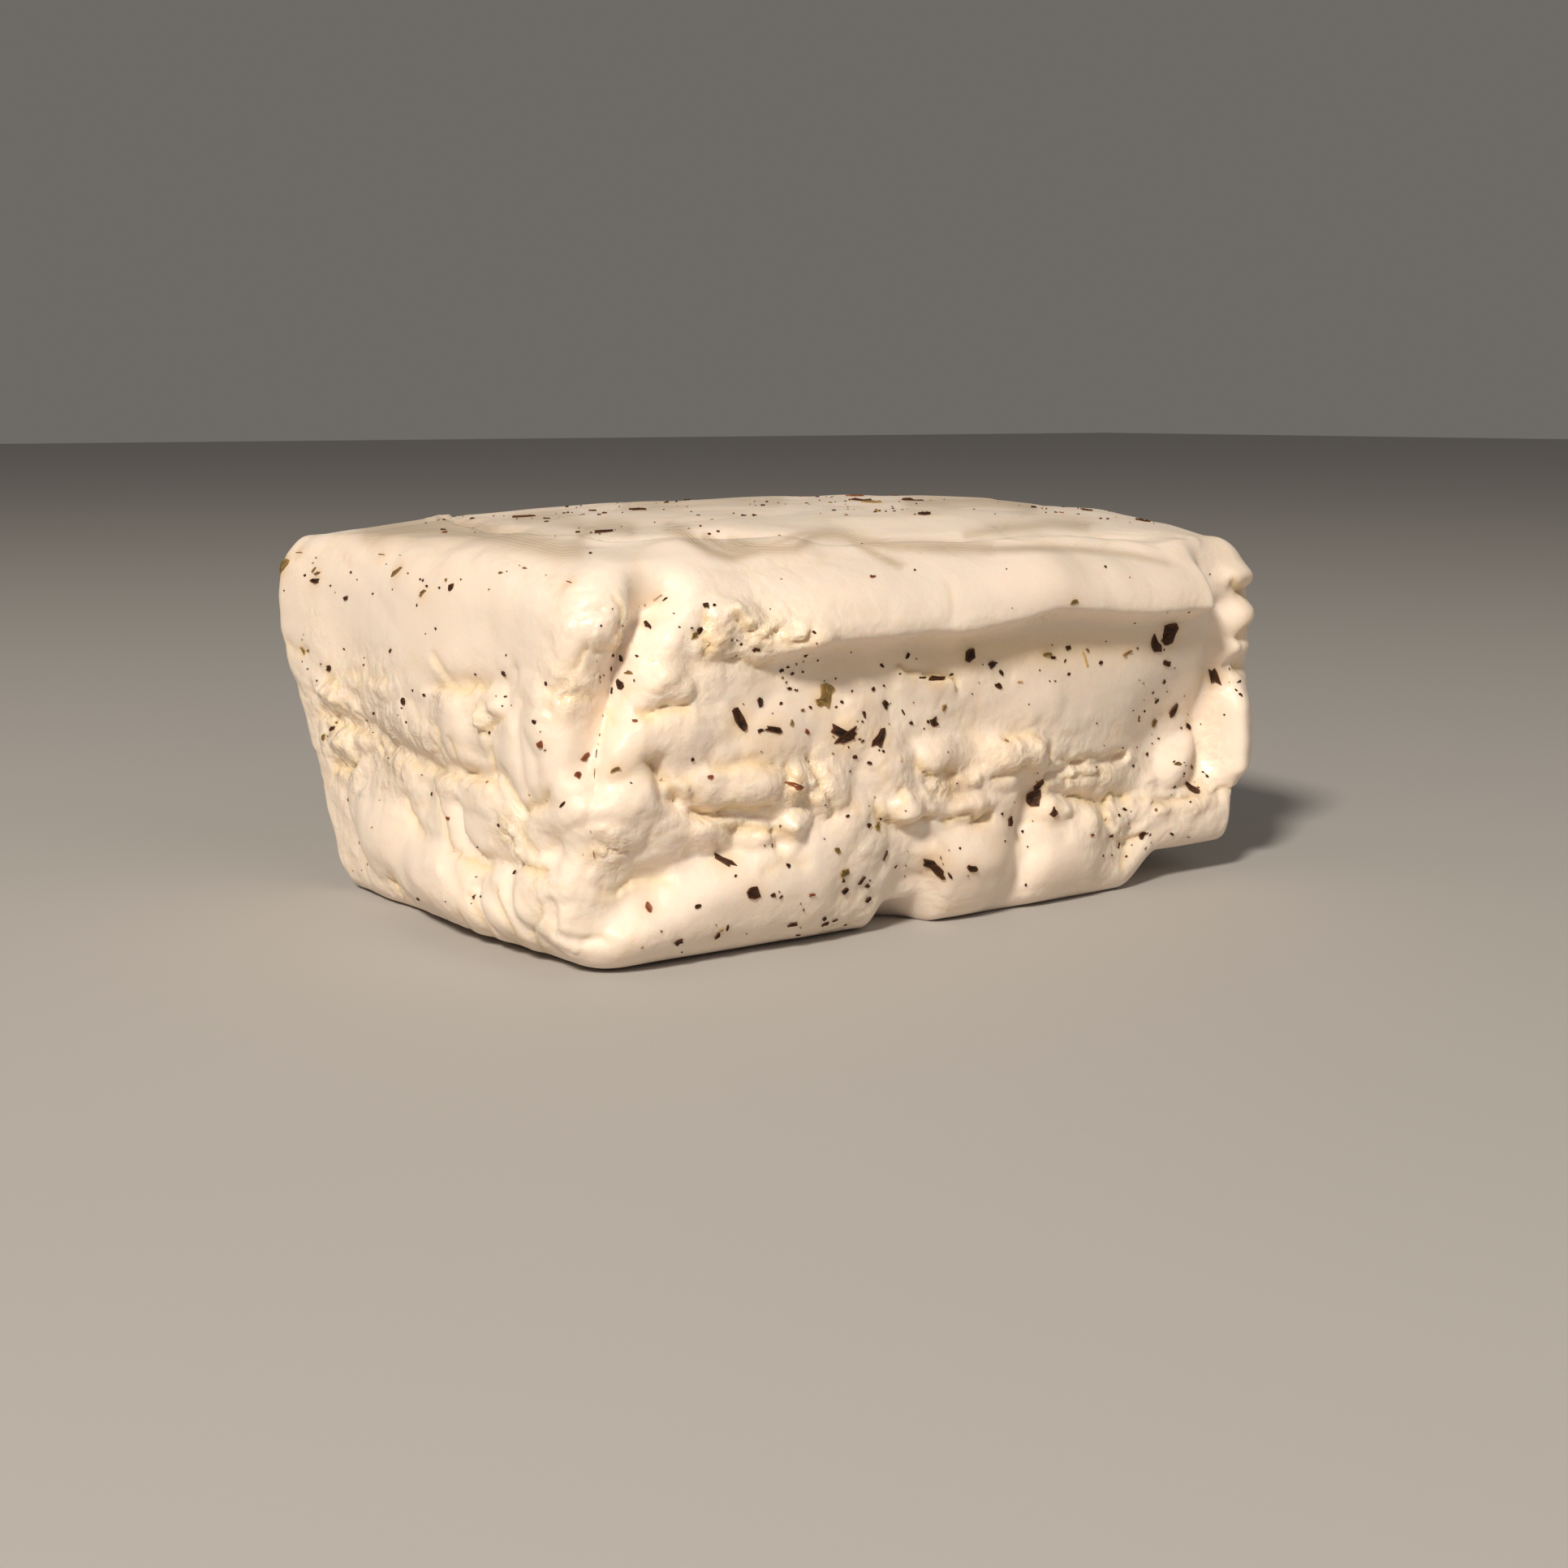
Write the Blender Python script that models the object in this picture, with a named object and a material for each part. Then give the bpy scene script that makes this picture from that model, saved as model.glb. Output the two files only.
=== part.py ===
# Block of halloumi with dried mint: a hand-folded slab of white brined cheese.
# The block stands on its flat base. +X runs along the long front face, +Y goes to the back,
# and the origin is at the middle of the block's outer box, on the base.

import math

import bmesh
import bpy
import numpy as np
from mathutils import Matrix, Vector
from mathutils.bvhtree import BVHTree

MM = 0.001

# size of the plain slab before it is folded and pressed, in mm
SLAB_LEFT = -46.4
SLAB_RIGHT = 48.2
SLAB_FRONT = -33.2
SLAB_BACK = 35.6
SLAB_HEIGHT = 40.0
RADIUS_FRONT_LEFT = 7.5
RADIUS_FRONT_RIGHT = 4.5
RADIUS_BACK_LEFT = 3.5
RADIUS_BACK_RIGHT = 7.0
TOP_ROLL = 6.5
BOTTOM_ROLL = 4.5
GRID_STEP = 1.0
FACET_SHARE = 0.165

# heights of the top at its four corners, and the dome between them, in mm
TOP_FRONT_LEFT = 40.2
TOP_FRONT_RIGHT = 39.6
TOP_BACK_LEFT = 38.0
TOP_BACK_RIGHT = 41.2
DOME_HEIGHT = 3.5
DOME_CENTRE_Y = 8.0

# the part of the base that lies flat, and how far the edges lift around it, in mm
BASE_RIGHT_EDGE = 23.0
BASE_RIGHT_LIFT = 3.6
ARCH_CENTRE_X = -6.5
ARCH_HALF_WIDTH = 4.6
ARCH_DEPTH = 9.0
ARCH_HEIGHT = 2.8
BACK_UNDERCUT = 0.42
RIGHT_UNDERCUT = 0.06

# the lip: the folded layer that hangs over the top of the front face, in mm
LIP_REACH = 3.8
LIP_LEFT_END = -33.0
LIP_RIGHT_END = 36.0
LIP_HEIGHT = 31.7

# how full the rounded edge is next to the base: 1 is a plain quarter circle, less is fuller
FOOT_POWER = 0.75
FOOT_POWER_FRONT_LESS = 0.4

# how far the lumps stand out, as a share of the heights below, and how firm their rims are
LUMP_SHARE = 0.52
LUMP_POWER = 0.85

# moves the finished block so that its outer box is centred on the origin, in mm
CENTRE_SHIFT_X = -0.36
CENTRE_SHIFT_Y = -0.16

# flakes of dried mint pressed into the surface, in mm
FLAKE_THICKNESS = 0.9
FLAKE_PROUD = 0.35
HIDDEN_FLAKES = 26

SEED = 47

# Lumps of curd on a face: across, up, half width, half height, turn in degrees, height of the lump.
# Across runs to the right as one looks at the face, up is measured from the base, all in mm.
FRONT_LUMPS = [
    (-45.3, 34.0, 2.2, 3.0, 0, 0.9),
    (-38.5, 31.5, 4.5, 6.5, 20, 1.6),
    (-37.0, 28.0, 3.2, 2.4, 0, 2.2),
    (-34.8, 27.2, 1.8, 1.5, 0, 2.0),
    (-42.5, 22.0, 5.0, 4.0, 10, 1.8),
    (-36.0, 22.5, 6.0, 3.5, 0, 1.6),
    (-29.5, 34.0, 3.2, 2.2, -10, 1.8),
    (-27.0, 32.4, 2.0, 1.8, 0, 1.6),
    (-31.8, 31.2, 2.4, 1.6, 10, 1.9),
    (-24.2, 31.6, 2.2, 1.6, 0, 1.6),
    (-20.8, 31.9, 2.4, 1.8, 0, 1.5),
    (-29.0, 27.5, 5.0, 4.0, 0, 0.9),
    (-24.0, 21.5, 6.0, 4.0, 0, 1.3),
    (-41.0, 18.5, 6.5, 3.6, -15, 2.2),
    (-33.0, 18.0, 4.5, 3.4, 10, 2.2),
    (-27.5, 17.5, 4.2, 3.0, -10, 2.6),
    (-23.6, 17.2, 2.8, 2.4, 0, 2.9),
    (-18.5, 16.5, 2.8, 3.6, 10, 2.7),
    (-31.0, 12.7, 3.5, 1.9, -15, 1.8),
    (-26.5, 12.5, 2.4, 1.7, 0, 2.0),
    (-22.5, 13.0, 2.8, 1.9, 20, 2.5),
    (-35.0, 5.5, 15.0, 5.5, 0, 1.4),
    (-20.0, 6.6, 9.5, 6.5, 0, 2.4),
    (-15.5, 22.5, 6.0, 5.0, 20, 1.9),
    (-14.5, 10.5, 5.0, 5.5, -20, 2.7),
    (-8.0, 13.0, 2.6, 2.4, 0, 3.4),
    (-10.5, 18.0, 4.5, 4.0, 0, 2.2),
    (-3.5, 17.8, 3.5, 2.3, 0, 2.5),
    (5.5, 17.0, 4.8, 3.4, -15, 3.2),
    (9.8, 17.2, 3.2, 2.6, -20, 3.0),
    (1.0, 12.3, 3.6, 1.7, 0, 2.6),
    (1.2, 5.2, 6.8, 5.8, 0, 3.2),
    (15.0, 4.8, 9.6, 5.6, 8, 3.2),
    (13.8, 10.0, 2.8, 2.0, 20, 2.5),
    (19.5, 8.8, 3.2, 2.3, 10, 2.6),
    (24.5, 7.5, 2.8, 2.1, 0, 1.9),
    (32.0, 13.6, 4.2, 2.4, 35, 1.9),
    (31.5, 7.2, 5.0, 2.8, 0, 1.1),
    (38.0, 7.2, 4.5, 2.6, 10, 1.3),
    (43.5, 15.5, 4.2, 8.0, 0, 2.4),
    (43.0, 30.5, 3.8, 2.7, 0, 1.8),
    (43.0, 36.0, 3.8, 2.2, 0, 1.4),
    (42.5, 26.6, 2.2, 1.8, 0, 1.4),
]
LEFT_LUMPS = [
    (9.5, 22.0, 3.9, 4.3, 0, 1.9),
    (14.0, 22.8, 2.7, 3.5, -10, 1.7),
    (17.0, 24.0, 2.3, 2.3, 0, 1.8),
    (21.0, 21.0, 3.5, 5.4, 10, 2.0),
    (25.5, 24.5, 3.7, 3.7, 0, 1.9),
    (29.0, 20.0, 4.2, 5.2, 0, 1.5),
    (14.0, 13.5, 6.3, 4.2, 15, 2.0),
    (5.5, 13.0, 4.2, 4.4, 0, 1.4),
    (1.0, 20.5, 6.0, 3.0, -20, 1.0),
    (-3.5, 15.5, 6.0, 2.8, -15, 1.2),
    (-10.5, 9.5, 10.0, 6.0, 15, 2.6),
    (-22.0, 22.3, 4.8, 2.0, -5, 1.8),
    (-23.0, 16.4, 3.8, 1.8, 0, 1.8),
    (-15.5, 17.8, 4.4, 1.8, 0, 1.5),
    (-15.0, 24.5, 3.2, 2.8, 0, 1.0),
    (-9.0, 25.0, 4.2, 3.2, 20, 0.9),
    (8.0, 5.0, 9.5, 4.8, 0, 2.4),
    (21.0, 5.5, 7.5, 4.6, 20, 2.5),
    (31.0, 4.6, 6.0, 3.2, 0, 2.2),
    (33.0, 9.5, 6.0, 3.0, 10, 1.8),
    (33.0, 15.0, 5.2, 3.6, -10, 1.5),
    (35.0, 22.5, 3.8, 5.2, 0, 1.4),
]

# Creases between the folded layers: the bent line each one follows, its depth and its half width.
FRONT_CREASES = [
    ([(-36.6, 37.5), (-39.4, 33.2), (-41.8, 29.2), (-43.8, 25.0), (-45.4, 20.5)], 3.9, 2.2),
    ([(-31.0, 16.4), (-35.0, 15.3), (-39.5, 12.4), (-43.0, 10.4), (-46.0, 8.6)], 1.9, 2.2),
    ([(-37.5, 20.5), (-36.5, 17.0), (-33.0, 15.2), (-28.0, 14.3), (-24.8, 13.4), (-23.5, 11.5)], 1.3, 0.8),
    ([(12.5, 14.0), (18.0, 15.2), (24.0, 15.0), (27.0, 14.8)], 0.9, 0.6),
    ([(13.0, 12.2), (20.0, 10.8), (26.0, 10.7), (31.0, 9.5), (36.0, 9.8)], 1.1, 0.7),
    ([(10.6, 12.0), (8.6, 6.5), (5.8, 0.0)], 1.6, 1.9),
    ([(37.0, 31.0), (37.3, 24.0), (36.8, 16.0), (36.5, 8.0)], 1.7, 1.5),
    ([(44.0, 34.4), (49.0, 33.2)], 1.1, 1.0),
    ([(43.0, 25.0), (50.0, 25.2)], 1.0, 1.1),
]
LEFT_CREASES = [
    ([(5.0, 25.2), (10.0, 26.1), (14.0, 26.6), (18.0, 26.9), (19.8, 28.4)], 1.2, 0.8),
    ([(-17.0, 18.8), (-12.0, 19.2), (-7.0, 17.8), (-2.0, 18.1), (3.0, 17.4), (8.0, 17.5),
      (14.0, 17.8), (19.0, 17.9), (20.4, 15.2)], 0.6, 0.8),
    ([(-26.0, 19.8), (-19.0, 18.9), (-13.0, 19.0)], 0.7, 0.9),
    ([(8.0, 14.0), (9.6, 10.6), (14.0, 9.0), (20.0, 9.6)], 0.8, 0.7),
    ([(14.0, 6.5), (18.0, 1.5)], 1.0, 0.9),
    ([(19.0, 9.0), (21.5, 4.5), (26.0, 1.5)], 0.9, 0.9),
    ([(26.5, 7.0), (27.0, 4.2), (30.0, 3.2), (36.0, 3.4)], 0.8, 0.8),
]
TOP_CREASES = [
    ([(-27.0, 31.0), (-33.5, 9.0), (-37.5, -10.0), (-35.0, -18.0), (-28.5, -21.0), (-21.5, -22.5),
      (-14.0, -26.0), (0.0, -27.5), (14.0, -28.0), (28.0, -29.0), (37.0, -30.0)], 1.1, 1.6),
    ([(-8.0, -9.0), (8.0, -7.0), (24.0, -10.0)], 0.5, 2.6),
    ([(-22.0, 12.0), (-6.0, 20.0), (14.0, 19.0), (33.0, 24.0)], 0.5, 3.0),
]

# Broad swells and hollows of a face: across, up, half width, half height, height (negative is a hollow).
FRONT_SWELLS = [
    (-42.0, 28.0, 7.0, 22.0, -1.2),
    (-41.0, 12.0, 5.0, 2.8, -2.2),
    (3.0, 11.0, 12.0, 6.0, 1.0),
    (-15.0, 15.0, 13.0, 8.0, 0.9),
    (28.5, 16.4, 6.0, 4.2, -1.2),
    (16.0, 21.0, 6.0, 5.0, 0.5),
    (36.0, 19.0, 10.0, 9.0, -2.5),
    (27.0, 9.0, 8.0, 5.0, -1.2),
    (-7.0, 1.5, 3.4, 2.5, -1.6),
    (20.0, 26.0, 16.0, 6.0, 0.5),
]
LEFT_SWELLS = [
    (0.0, 27.0, 14.0, 8.0, 1.6),
    (6.0, 3.0, 12.0, 5.0, 1.6),
    (-28.0, 24.0, 8.0, 8.0, 0.8),
    (26.5, 12.0, 3.2, 1.8, -1.8),
    (-6.0, 2.0, 3.0, 2.0, -1.4),
]

# The larger mint flakes that show: face, across, up, length, width and turn in degrees, in mm.
FLAKES = [
    ("front", 31.0, 28.7, 3.0, 2.2, 60),
    ("front", 28.5, 27.6, 2.2, 1.4, 130),
    ("front", 38.4, 23.4, 3.0, 1.4, 120),
    ("front", 31.4, 20.0, 1.8, 1.1, 75),
    ("front", 33.9, 18.0, 1.4, 0.9, 160),
    ("front", 34.2, 10.8, 2.0, 1.2, 125),
    ("front", 9.8, 12.9, 3.2, 2.2, 60),
    ("front", 12.8, 10.4, 1.4, 0.9, 60),
    ("front", 6.3, 10.3, 1.7, 1.0, 20),
    ("front", -4.2, 6.6, 3.7, 1.8, 165),
    ("front", 1.0, 5.8, 1.5, 1.0, 160),
    ("front", 26.3, 6.2, 1.3, 1.0, 90),
    ("front", -15.9, 21.4, 3.0, 2.0, 160),
    ("front", -11.6, 20.6, 2.6, 1.3, 40),
    ("front", -18.4, 25.4, 2.7, 2.1, 20),
    ("front", -4.2, 26.3, 3.4, 0.9, 175),
    ("front", 0.9, 28.4, 1.5, 1.2, 100),
    ("front", 4.3, 27.2, 1.3, 0.9, 10),
    ("front", 12.7, 27.8, 1.5, 0.9, 170),
    ("front", -29.2, 23.9, 2.9, 1.3, 115),
    ("front", -25.2, 22.7, 2.1, 0.9, 170),
    ("front", -31.2, 10.4, 2.5, 1.0, 135),
    ("front", -27.4, 6.7, 2.0, 1.3, 140),
    ("front", -39.9, 7.1, 1.3, 0.8, 90),
    ("front", -36.4, 3.3, 1.3, 1.0, 60),
    ("front", -43.2, 28.6, 1.4, 1.2, 30),
    ("front", -39.9, 34.2, 1.5, 1.0, 90),
    ("front", -34.4, 33.0, 1.6, 1.1, 60),
    ("front", -22.2, 16.6, 2.3, 0.9, 150),
    ("left", -34.2, 35.9, 2.8, 1.6, 25),
    ("left", -20.8, 25.2, 1.2, 0.9, 20),
    ("left", -19.8, 18.4, 1.5, 0.9, 20),
    ("left", -2.0, 23.6, 1.2, 0.9, 150),
    ("left", 9.1, 36.4, 1.1, 0.9, 0),
    ("left", 25.8, 22.6, 1.2, 0.9, 40),
    ("left", -3.4, 37.2, 1.9, 1.0, 20),
]

FACES = {
    "front": (Vector((1, 0, 0)), Vector((0, -1, 0))),
    "left": (Vector((0, -1, 0)), Vector((-1, 0, 0))),
    "back": (Vector((-1, 0, 0)), Vector((0, 1, 0))),
    "right": (Vector((0, 1, 0)), Vector((1, 0, 0))),
}

lattice = np.random.default_rng(SEED).random((32, 32, 32))


def ease(low, high, value):
    share = np.clip((value - low) / (high - low), 0.0, 1.0)
    return share * share * (3.0 - 2.0 * share)


def noise(x, y, z, size, layer):
    # random values on a lattice, blended smoothly between the nearest eight, from -1 to 1
    places = [(values / size + layer * 5.37) for values in (x, y, z)]
    cells = [np.floor(place).astype(int) for place in places]
    shares = [ease(0.0, 1.0, place - cell) for place, cell in zip(places, cells)]
    total = np.zeros_like(x)
    for corner in range(8):
        steps = (corner & 1, (corner >> 1) & 1, (corner >> 2) & 1)
        weight = np.ones_like(x)
        for step, share in zip(steps, shares):
            weight = weight * (share if step else 1.0 - share)
        index = [(cell + step) % 32 for cell, step in zip(cells, steps)]
        total += weight * lattice[index[0], index[1], index[2]]
    return total * 2.0 - 1.0


def lumps(across, up, table):
    # pillows of curd with firm rims: where they overlap the highest one shows
    height = np.zeros_like(across)
    for centre, middle, half_width, half_height, turn, rise in table:
        angle = math.radians(turn)
        side = (across - centre) * math.cos(angle) + (up - middle) * math.sin(angle)
        along = (up - middle) * math.cos(angle) - (across - centre) * math.sin(angle)
        round_top = 1.0 - (side / half_width) ** 2 - (along / half_height) ** 2
        height = np.maximum(height, LUMP_SHARE * rise * np.clip(round_top, 0.0, 1.0) ** LUMP_POWER)
    return height


def line_distance(across, up, points):
    # nearest distance to a line of straight pieces
    nearest = np.full_like(across, 1e6)
    for start, end in zip(points[:-1], points[1:]):
        run = (end[0] - start[0], end[1] - start[1])
        length = run[0] ** 2 + run[1] ** 2
        share = ((across - start[0]) * run[0] + (up - start[1]) * run[1]) / length
        share = np.clip(share, 0.0, 1.0)
        gap = np.hypot(across - start[0] - share * run[0], up - start[1] - share * run[1])
        nearest = np.minimum(nearest, gap)
    return nearest


def creases(across, up, table):
    depth = np.zeros_like(across)
    for points, deep, half_width in table:
        distance = line_distance(across, up, points)
        depth = np.maximum(depth, deep * np.exp(-((distance / half_width) ** 2)))
    return -depth


def swells(across, up, table):
    height = np.zeros_like(across)
    for centre, middle, half_width, half_height, rise in table:
        gap = ((across - centre) / half_width) ** 2 + ((up - middle) / half_height) ** 2
        height += rise * np.exp(-gap)
    return height


def lip(across, up):
    # a rounded roll that ends sharply below and runs smoothly into the top above
    edge = LIP_HEIGHT - 1.1 * ease(4.0, -12.0, across) - 0.35 * np.cos(across * 0.23)
    length = ease(LIP_LEFT_END, LIP_LEFT_END + 14.0, across)
    length = length * ease(LIP_RIGHT_END + 1.5, LIP_RIGHT_END - 1.5, across)
    roll = ease(edge - 1.7, edge + 0.9, up) * ease(edge + 8.5, edge + 1.5, up)
    return LIP_REACH * length * roll


def channel_ridge(across, up):
    # the wet ridge that stands beside the upright channel near the right end
    upright = ease(8.0, 12.0, up) * ease(24.0, 19.0, up)
    return 1.7 * upright * np.exp(-(((across - 39.2) / 1.1) ** 2))


def scattered_lumps(width, height, count, seed):
    # lumps for the faces that lie away from the front, each with its own draw
    draw = np.random.default_rng(seed)
    table = []
    for number in range(count):
        half_width = draw.uniform(3.0, 8.5)
        table.append((draw.uniform(-0.5, 0.5) * width, draw.uniform(3.0, height), half_width,
                      half_width * draw.uniform(0.4, 0.75), draw.uniform(-25, 25), draw.uniform(1.0, 2.6)))
    return table


def scattered_creases(width, heights, seed):
    # wandering creases that run across a whole face, one for each height in the list
    draw = np.random.default_rng(seed)
    table = []
    for height in heights:
        steps = np.linspace(-0.42, 0.42, 8) * width
        points = [(step, height + draw.uniform(-2.2, 2.2)) for step in steps]
        table.append((points, draw.uniform(0.6, 1.0), draw.uniform(0.7, 1.2)))
    return table


BACK_LUMPS = scattered_lumps(84.0, 33.0, 34, SEED + 1)
RIGHT_LUMPS = scattered_lumps(62.0, 33.0, 24, SEED + 2)
BACK_CREASES = scattered_creases(90.0, (13.0, 22.0, 30.0), SEED + 3)
RIGHT_CREASES = scattered_creases(64.0, (12.0, 20.0, 29.0), SEED + 4)


def relief(x, y, z, normal):
    # height of the folds, lumps and creases above the plain slab, blended from face to face
    wander = 0.9
    bent_x = x + wander * noise(x, y, z, 6.0, 1)
    bent_y = y + wander * noise(x, y, z, 6.0, 2)
    bent_z = z + wander * 0.7 * noise(x, y, z, 6.0, 3)
    front = ease(0.25, 0.8, -normal[:, 1])
    back = ease(0.25, 0.8, normal[:, 1])
    left = ease(0.25, 0.8, -normal[:, 0])
    right = ease(0.25, 0.8, normal[:, 0])
    top = ease(0.45, 0.9, normal[:, 2])
    side_height = ease(39.5, 35.0, z)
    front_form = lumps(bent_x, bent_z, FRONT_LUMPS) * side_height
    front_form += creases(bent_x, bent_z, FRONT_CREASES) + swells(bent_x, bent_z, FRONT_SWELLS)
    front_form += lip(bent_x, z + 0.4 * (bent_z - z)) + channel_ridge(bent_x, z)
    left_form = lumps(-bent_y, bent_z, LEFT_LUMPS) + creases(-bent_y, bent_z, LEFT_CREASES)
    left_form += swells(-bent_y, bent_z, LEFT_SWELLS)
    back_form = lumps(-bent_x, bent_z, BACK_LUMPS) * side_height + creases(-bent_x, bent_z, BACK_CREASES)
    right_form = lumps(bent_y, bent_z, RIGHT_LUMPS) * side_height + creases(bent_y, bent_z, RIGHT_CREASES)
    right_form = right_form * ease(-34.0, -18.0, y)
    top_form = creases(bent_x, bent_y, TOP_CREASES) * (0.7 + 0.6 * noise(x, y, z, 9.0, 7))
    top_form += 0.35 * noise(x, y, z, 14.0, 4)
    form = front * front_form + left * left_form + back * back_form + right * right_form + top * top_form
    form += 0.35 * noise(x, y, z, 9.0, 5) * (1.0 - top)
    # little relief where the block meets what it stands on
    return form * (0.3 + 0.7 * ease(0.0, 7.0, z))


def blend(front_left, front_right, back_left, back_right, right_share, back_share):
    front = front_left + (front_right - front_left) * right_share
    back = back_left + (back_right - back_left) * right_share
    return front + (back - front) * back_share


def slab(share_x, share_y, share_z):
    # plain slab with rounded edges: every place on a cube's skin moves to its place on the slab
    x = SLAB_LEFT + (SLAB_RIGHT - SLAB_LEFT) * (share_x + 1.0) / 2.0
    y = SLAB_FRONT + (SLAB_BACK - SLAB_FRONT) * (share_y + 1.0) / 2.0
    z = SLAB_HEIGHT * (share_z + 1.0) / 2.0
    radius = blend(RADIUS_FRONT_LEFT, RADIUS_FRONT_RIGHT, RADIUS_BACK_LEFT, RADIUS_BACK_RIGHT,
                   ease(-0.5, 0.5, share_x), ease(-0.5, 0.5, share_y))
    roll = np.where(share_z > 0, TOP_ROLL, BOTTOM_ROLL)
    core_x = np.clip(x, SLAB_LEFT + radius, SLAB_RIGHT - radius)
    core_y = np.clip(y, SLAB_FRONT + radius, SLAB_BACK - radius)
    core_z = np.clip(z, BOTTOM_ROLL, SLAB_HEIGHT - TOP_ROLL)
    normal = np.stack(((x - core_x) / radius, (y - core_y) / radius, (z - core_z) / roll), axis=1)
    normal /= np.linalg.norm(normal, axis=1)[:, None]
    # the rounded edge is fuller where it meets the base, most of all in the right half of the front
    flatwise = np.maximum(np.hypot(normal[:, 0], normal[:, 1]), 1e-6)
    power = FOOT_POWER - FOOT_POWER_FRONT_LESS * ease(-13.0, -5.0, x) * ease(0.0, -20.0, y)
    full = radius * np.where(normal[:, 2] < 0.0, flatwise ** (power - 1.0), 1.0)
    x = core_x + normal[:, 0] * full
    y = core_y + normal[:, 1] * full
    z = core_z + normal[:, 2] * roll
    return x, y, z, normal


def shaped(share_x, share_y, share_z):
    x, y, z, normal = slab(share_x, share_y, share_z)
    rise = relief(x, y, z, normal)
    flat = (normal[:, 2] < -0.999)
    # the top: four corner heights, a dome, and a slope down to the front roll
    right_share = (x - SLAB_LEFT) / (SLAB_RIGHT - SLAB_LEFT)
    back_share = (y - SLAB_FRONT) / (SLAB_BACK - SLAB_FRONT)
    top_height = blend(TOP_FRONT_LEFT, TOP_FRONT_RIGHT, TOP_BACK_LEFT, TOP_BACK_RIGHT,
                       right_share, back_share)
    dome = (1.0 - (x / 62.0) ** 2) * (1.0 - ((y - DOME_CENTRE_Y) / 56.0) ** 2)
    top_height += DOME_HEIGHT * dome - 1.3 * ease(-14.0, -30.0, y)
    stretch = (top_height - SLAB_HEIGHT) * ease(10.0, SLAB_HEIGHT, z)
    # the relief stands out along the slab's own directions
    out_x = x + normal[:, 0] * rise
    out_y = y + normal[:, 1] * rise
    out_z = z + stretch + normal[:, 2] * rise
    # the corner at the back of the left face stands out at the top
    out = 2.2 * ease(14.0, 34.0, out_z) * ease(10.0, 35.0, out_y) * ease(-18.0, -46.0, out_x)
    out_x = out_x - 0.6 * out
    out_y = out_y + out
    # the back and the right end draw in towards the base
    fall = np.clip(1.0 - out_z / 38.0, 0.0, 1.0) ** 1.7
    behind = ease(-10.0, 30.0, out_y)
    undercut = BACK_UNDERCUT * (0.62 + 0.38 * ease(10.0, -40.0, x))
    out_y = out_y - behind * undercut * fall * np.maximum(out_y, 0.0)
    beside = ease(5.0, 40.0, out_x)
    out_x = out_x - beside * RIGHT_UNDERCUT * fall ** 2 * np.maximum(out_x, 0.0)
    # the base lifts off at the right end and in a small arch under the front
    edge = BASE_RIGHT_EDGE + 0.12 * (y - SLAB_FRONT) + 5.0 * noise(x, y, z * 0.0, 13.0, 6)
    lift = BASE_RIGHT_LIFT * ease(edge, edge + 9.0, out_x)
    arch_place = np.hypot((out_x - ARCH_CENTRE_X) / ARCH_HALF_WIDTH, (y - SLAB_FRONT) / ARCH_DEPTH)
    lift += ARCH_HEIGHT * ease(1.0, 0.35, arch_place)
    out_z = out_z + lift * ease(16.0, 0.0, z)
    out_z = np.where(flat & (lift < 0.02), 0.0, np.maximum(out_z, 0.0))
    return np.stack((out_x + CENTRE_SHIFT_X, out_y + CENTRE_SHIFT_Y, out_z), axis=1)


def remove_everything():
    for old in list(bpy.data.objects):
        bpy.data.objects.remove(old, do_unlink=True)


def new_material(name, colour, roughness):
    material = bpy.data.materials.new(name)
    material.use_nodes = True
    shader = material.node_tree.nodes["Principled BSDF"]
    shader.inputs["Base Color"].default_value = (*colour, 1.0)
    shader.inputs["Roughness"].default_value = roughness
    shader.inputs["Metallic"].default_value = 0.0
    material.diffuse_color = (*colour, 1.0)
    return material


def cube_skin():
    # six grids of even cells that close into a cube two units wide
    sizes = (SLAB_RIGHT - SLAB_LEFT, SLAB_BACK - SLAB_FRONT, SLAB_HEIGHT)
    counts = [round(size / GRID_STEP) for size in sizes]
    skin = bmesh.new()
    for axis in range(3):
        first = (axis + 1) % 3
        second = (axis + 2) % 3
        for side in (-1, 1):
            place = Matrix.Translation((0, 0, 0))
            place.zero()
            place[3][3] = 1.0
            place[first][0] = side
            place[second][1] = 1.0
            place[axis][2] = side
            place[axis][3] = side
            bmesh.ops.create_grid(skin, x_segments=counts[first], y_segments=counts[second], size=1.0,
                                  matrix=place)
    bmesh.ops.remove_doubles(skin, verts=skin.verts, dist=0.0001)
    return skin


def build_block(collection):
    skin = cube_skin()
    shares = np.array([vertex.co for vertex in skin.verts])
    places = shaped(shares[:, 0], shares[:, 1], shares[:, 2]) * MM
    for vertex, place in zip(skin.verts, places):
        vertex.co = place
    bmesh.ops.recalc_face_normals(skin, faces=skin.faces)
    mesh = bpy.data.meshes.new("halloumi")
    skin.to_mesh(mesh)
    skin.free()
    block = bpy.data.objects.new("halloumi", mesh)
    collection.objects.link(block)
    return block


def apply_modifiers(block):
    graph = bpy.context.evaluated_depsgraph_get()
    finished = bpy.data.meshes.new_from_object(block.evaluated_get(graph))
    block.modifiers.clear()
    old = block.data
    block.data = finished
    bpy.data.meshes.remove(old)
    finished.name = "halloumi"


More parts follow.
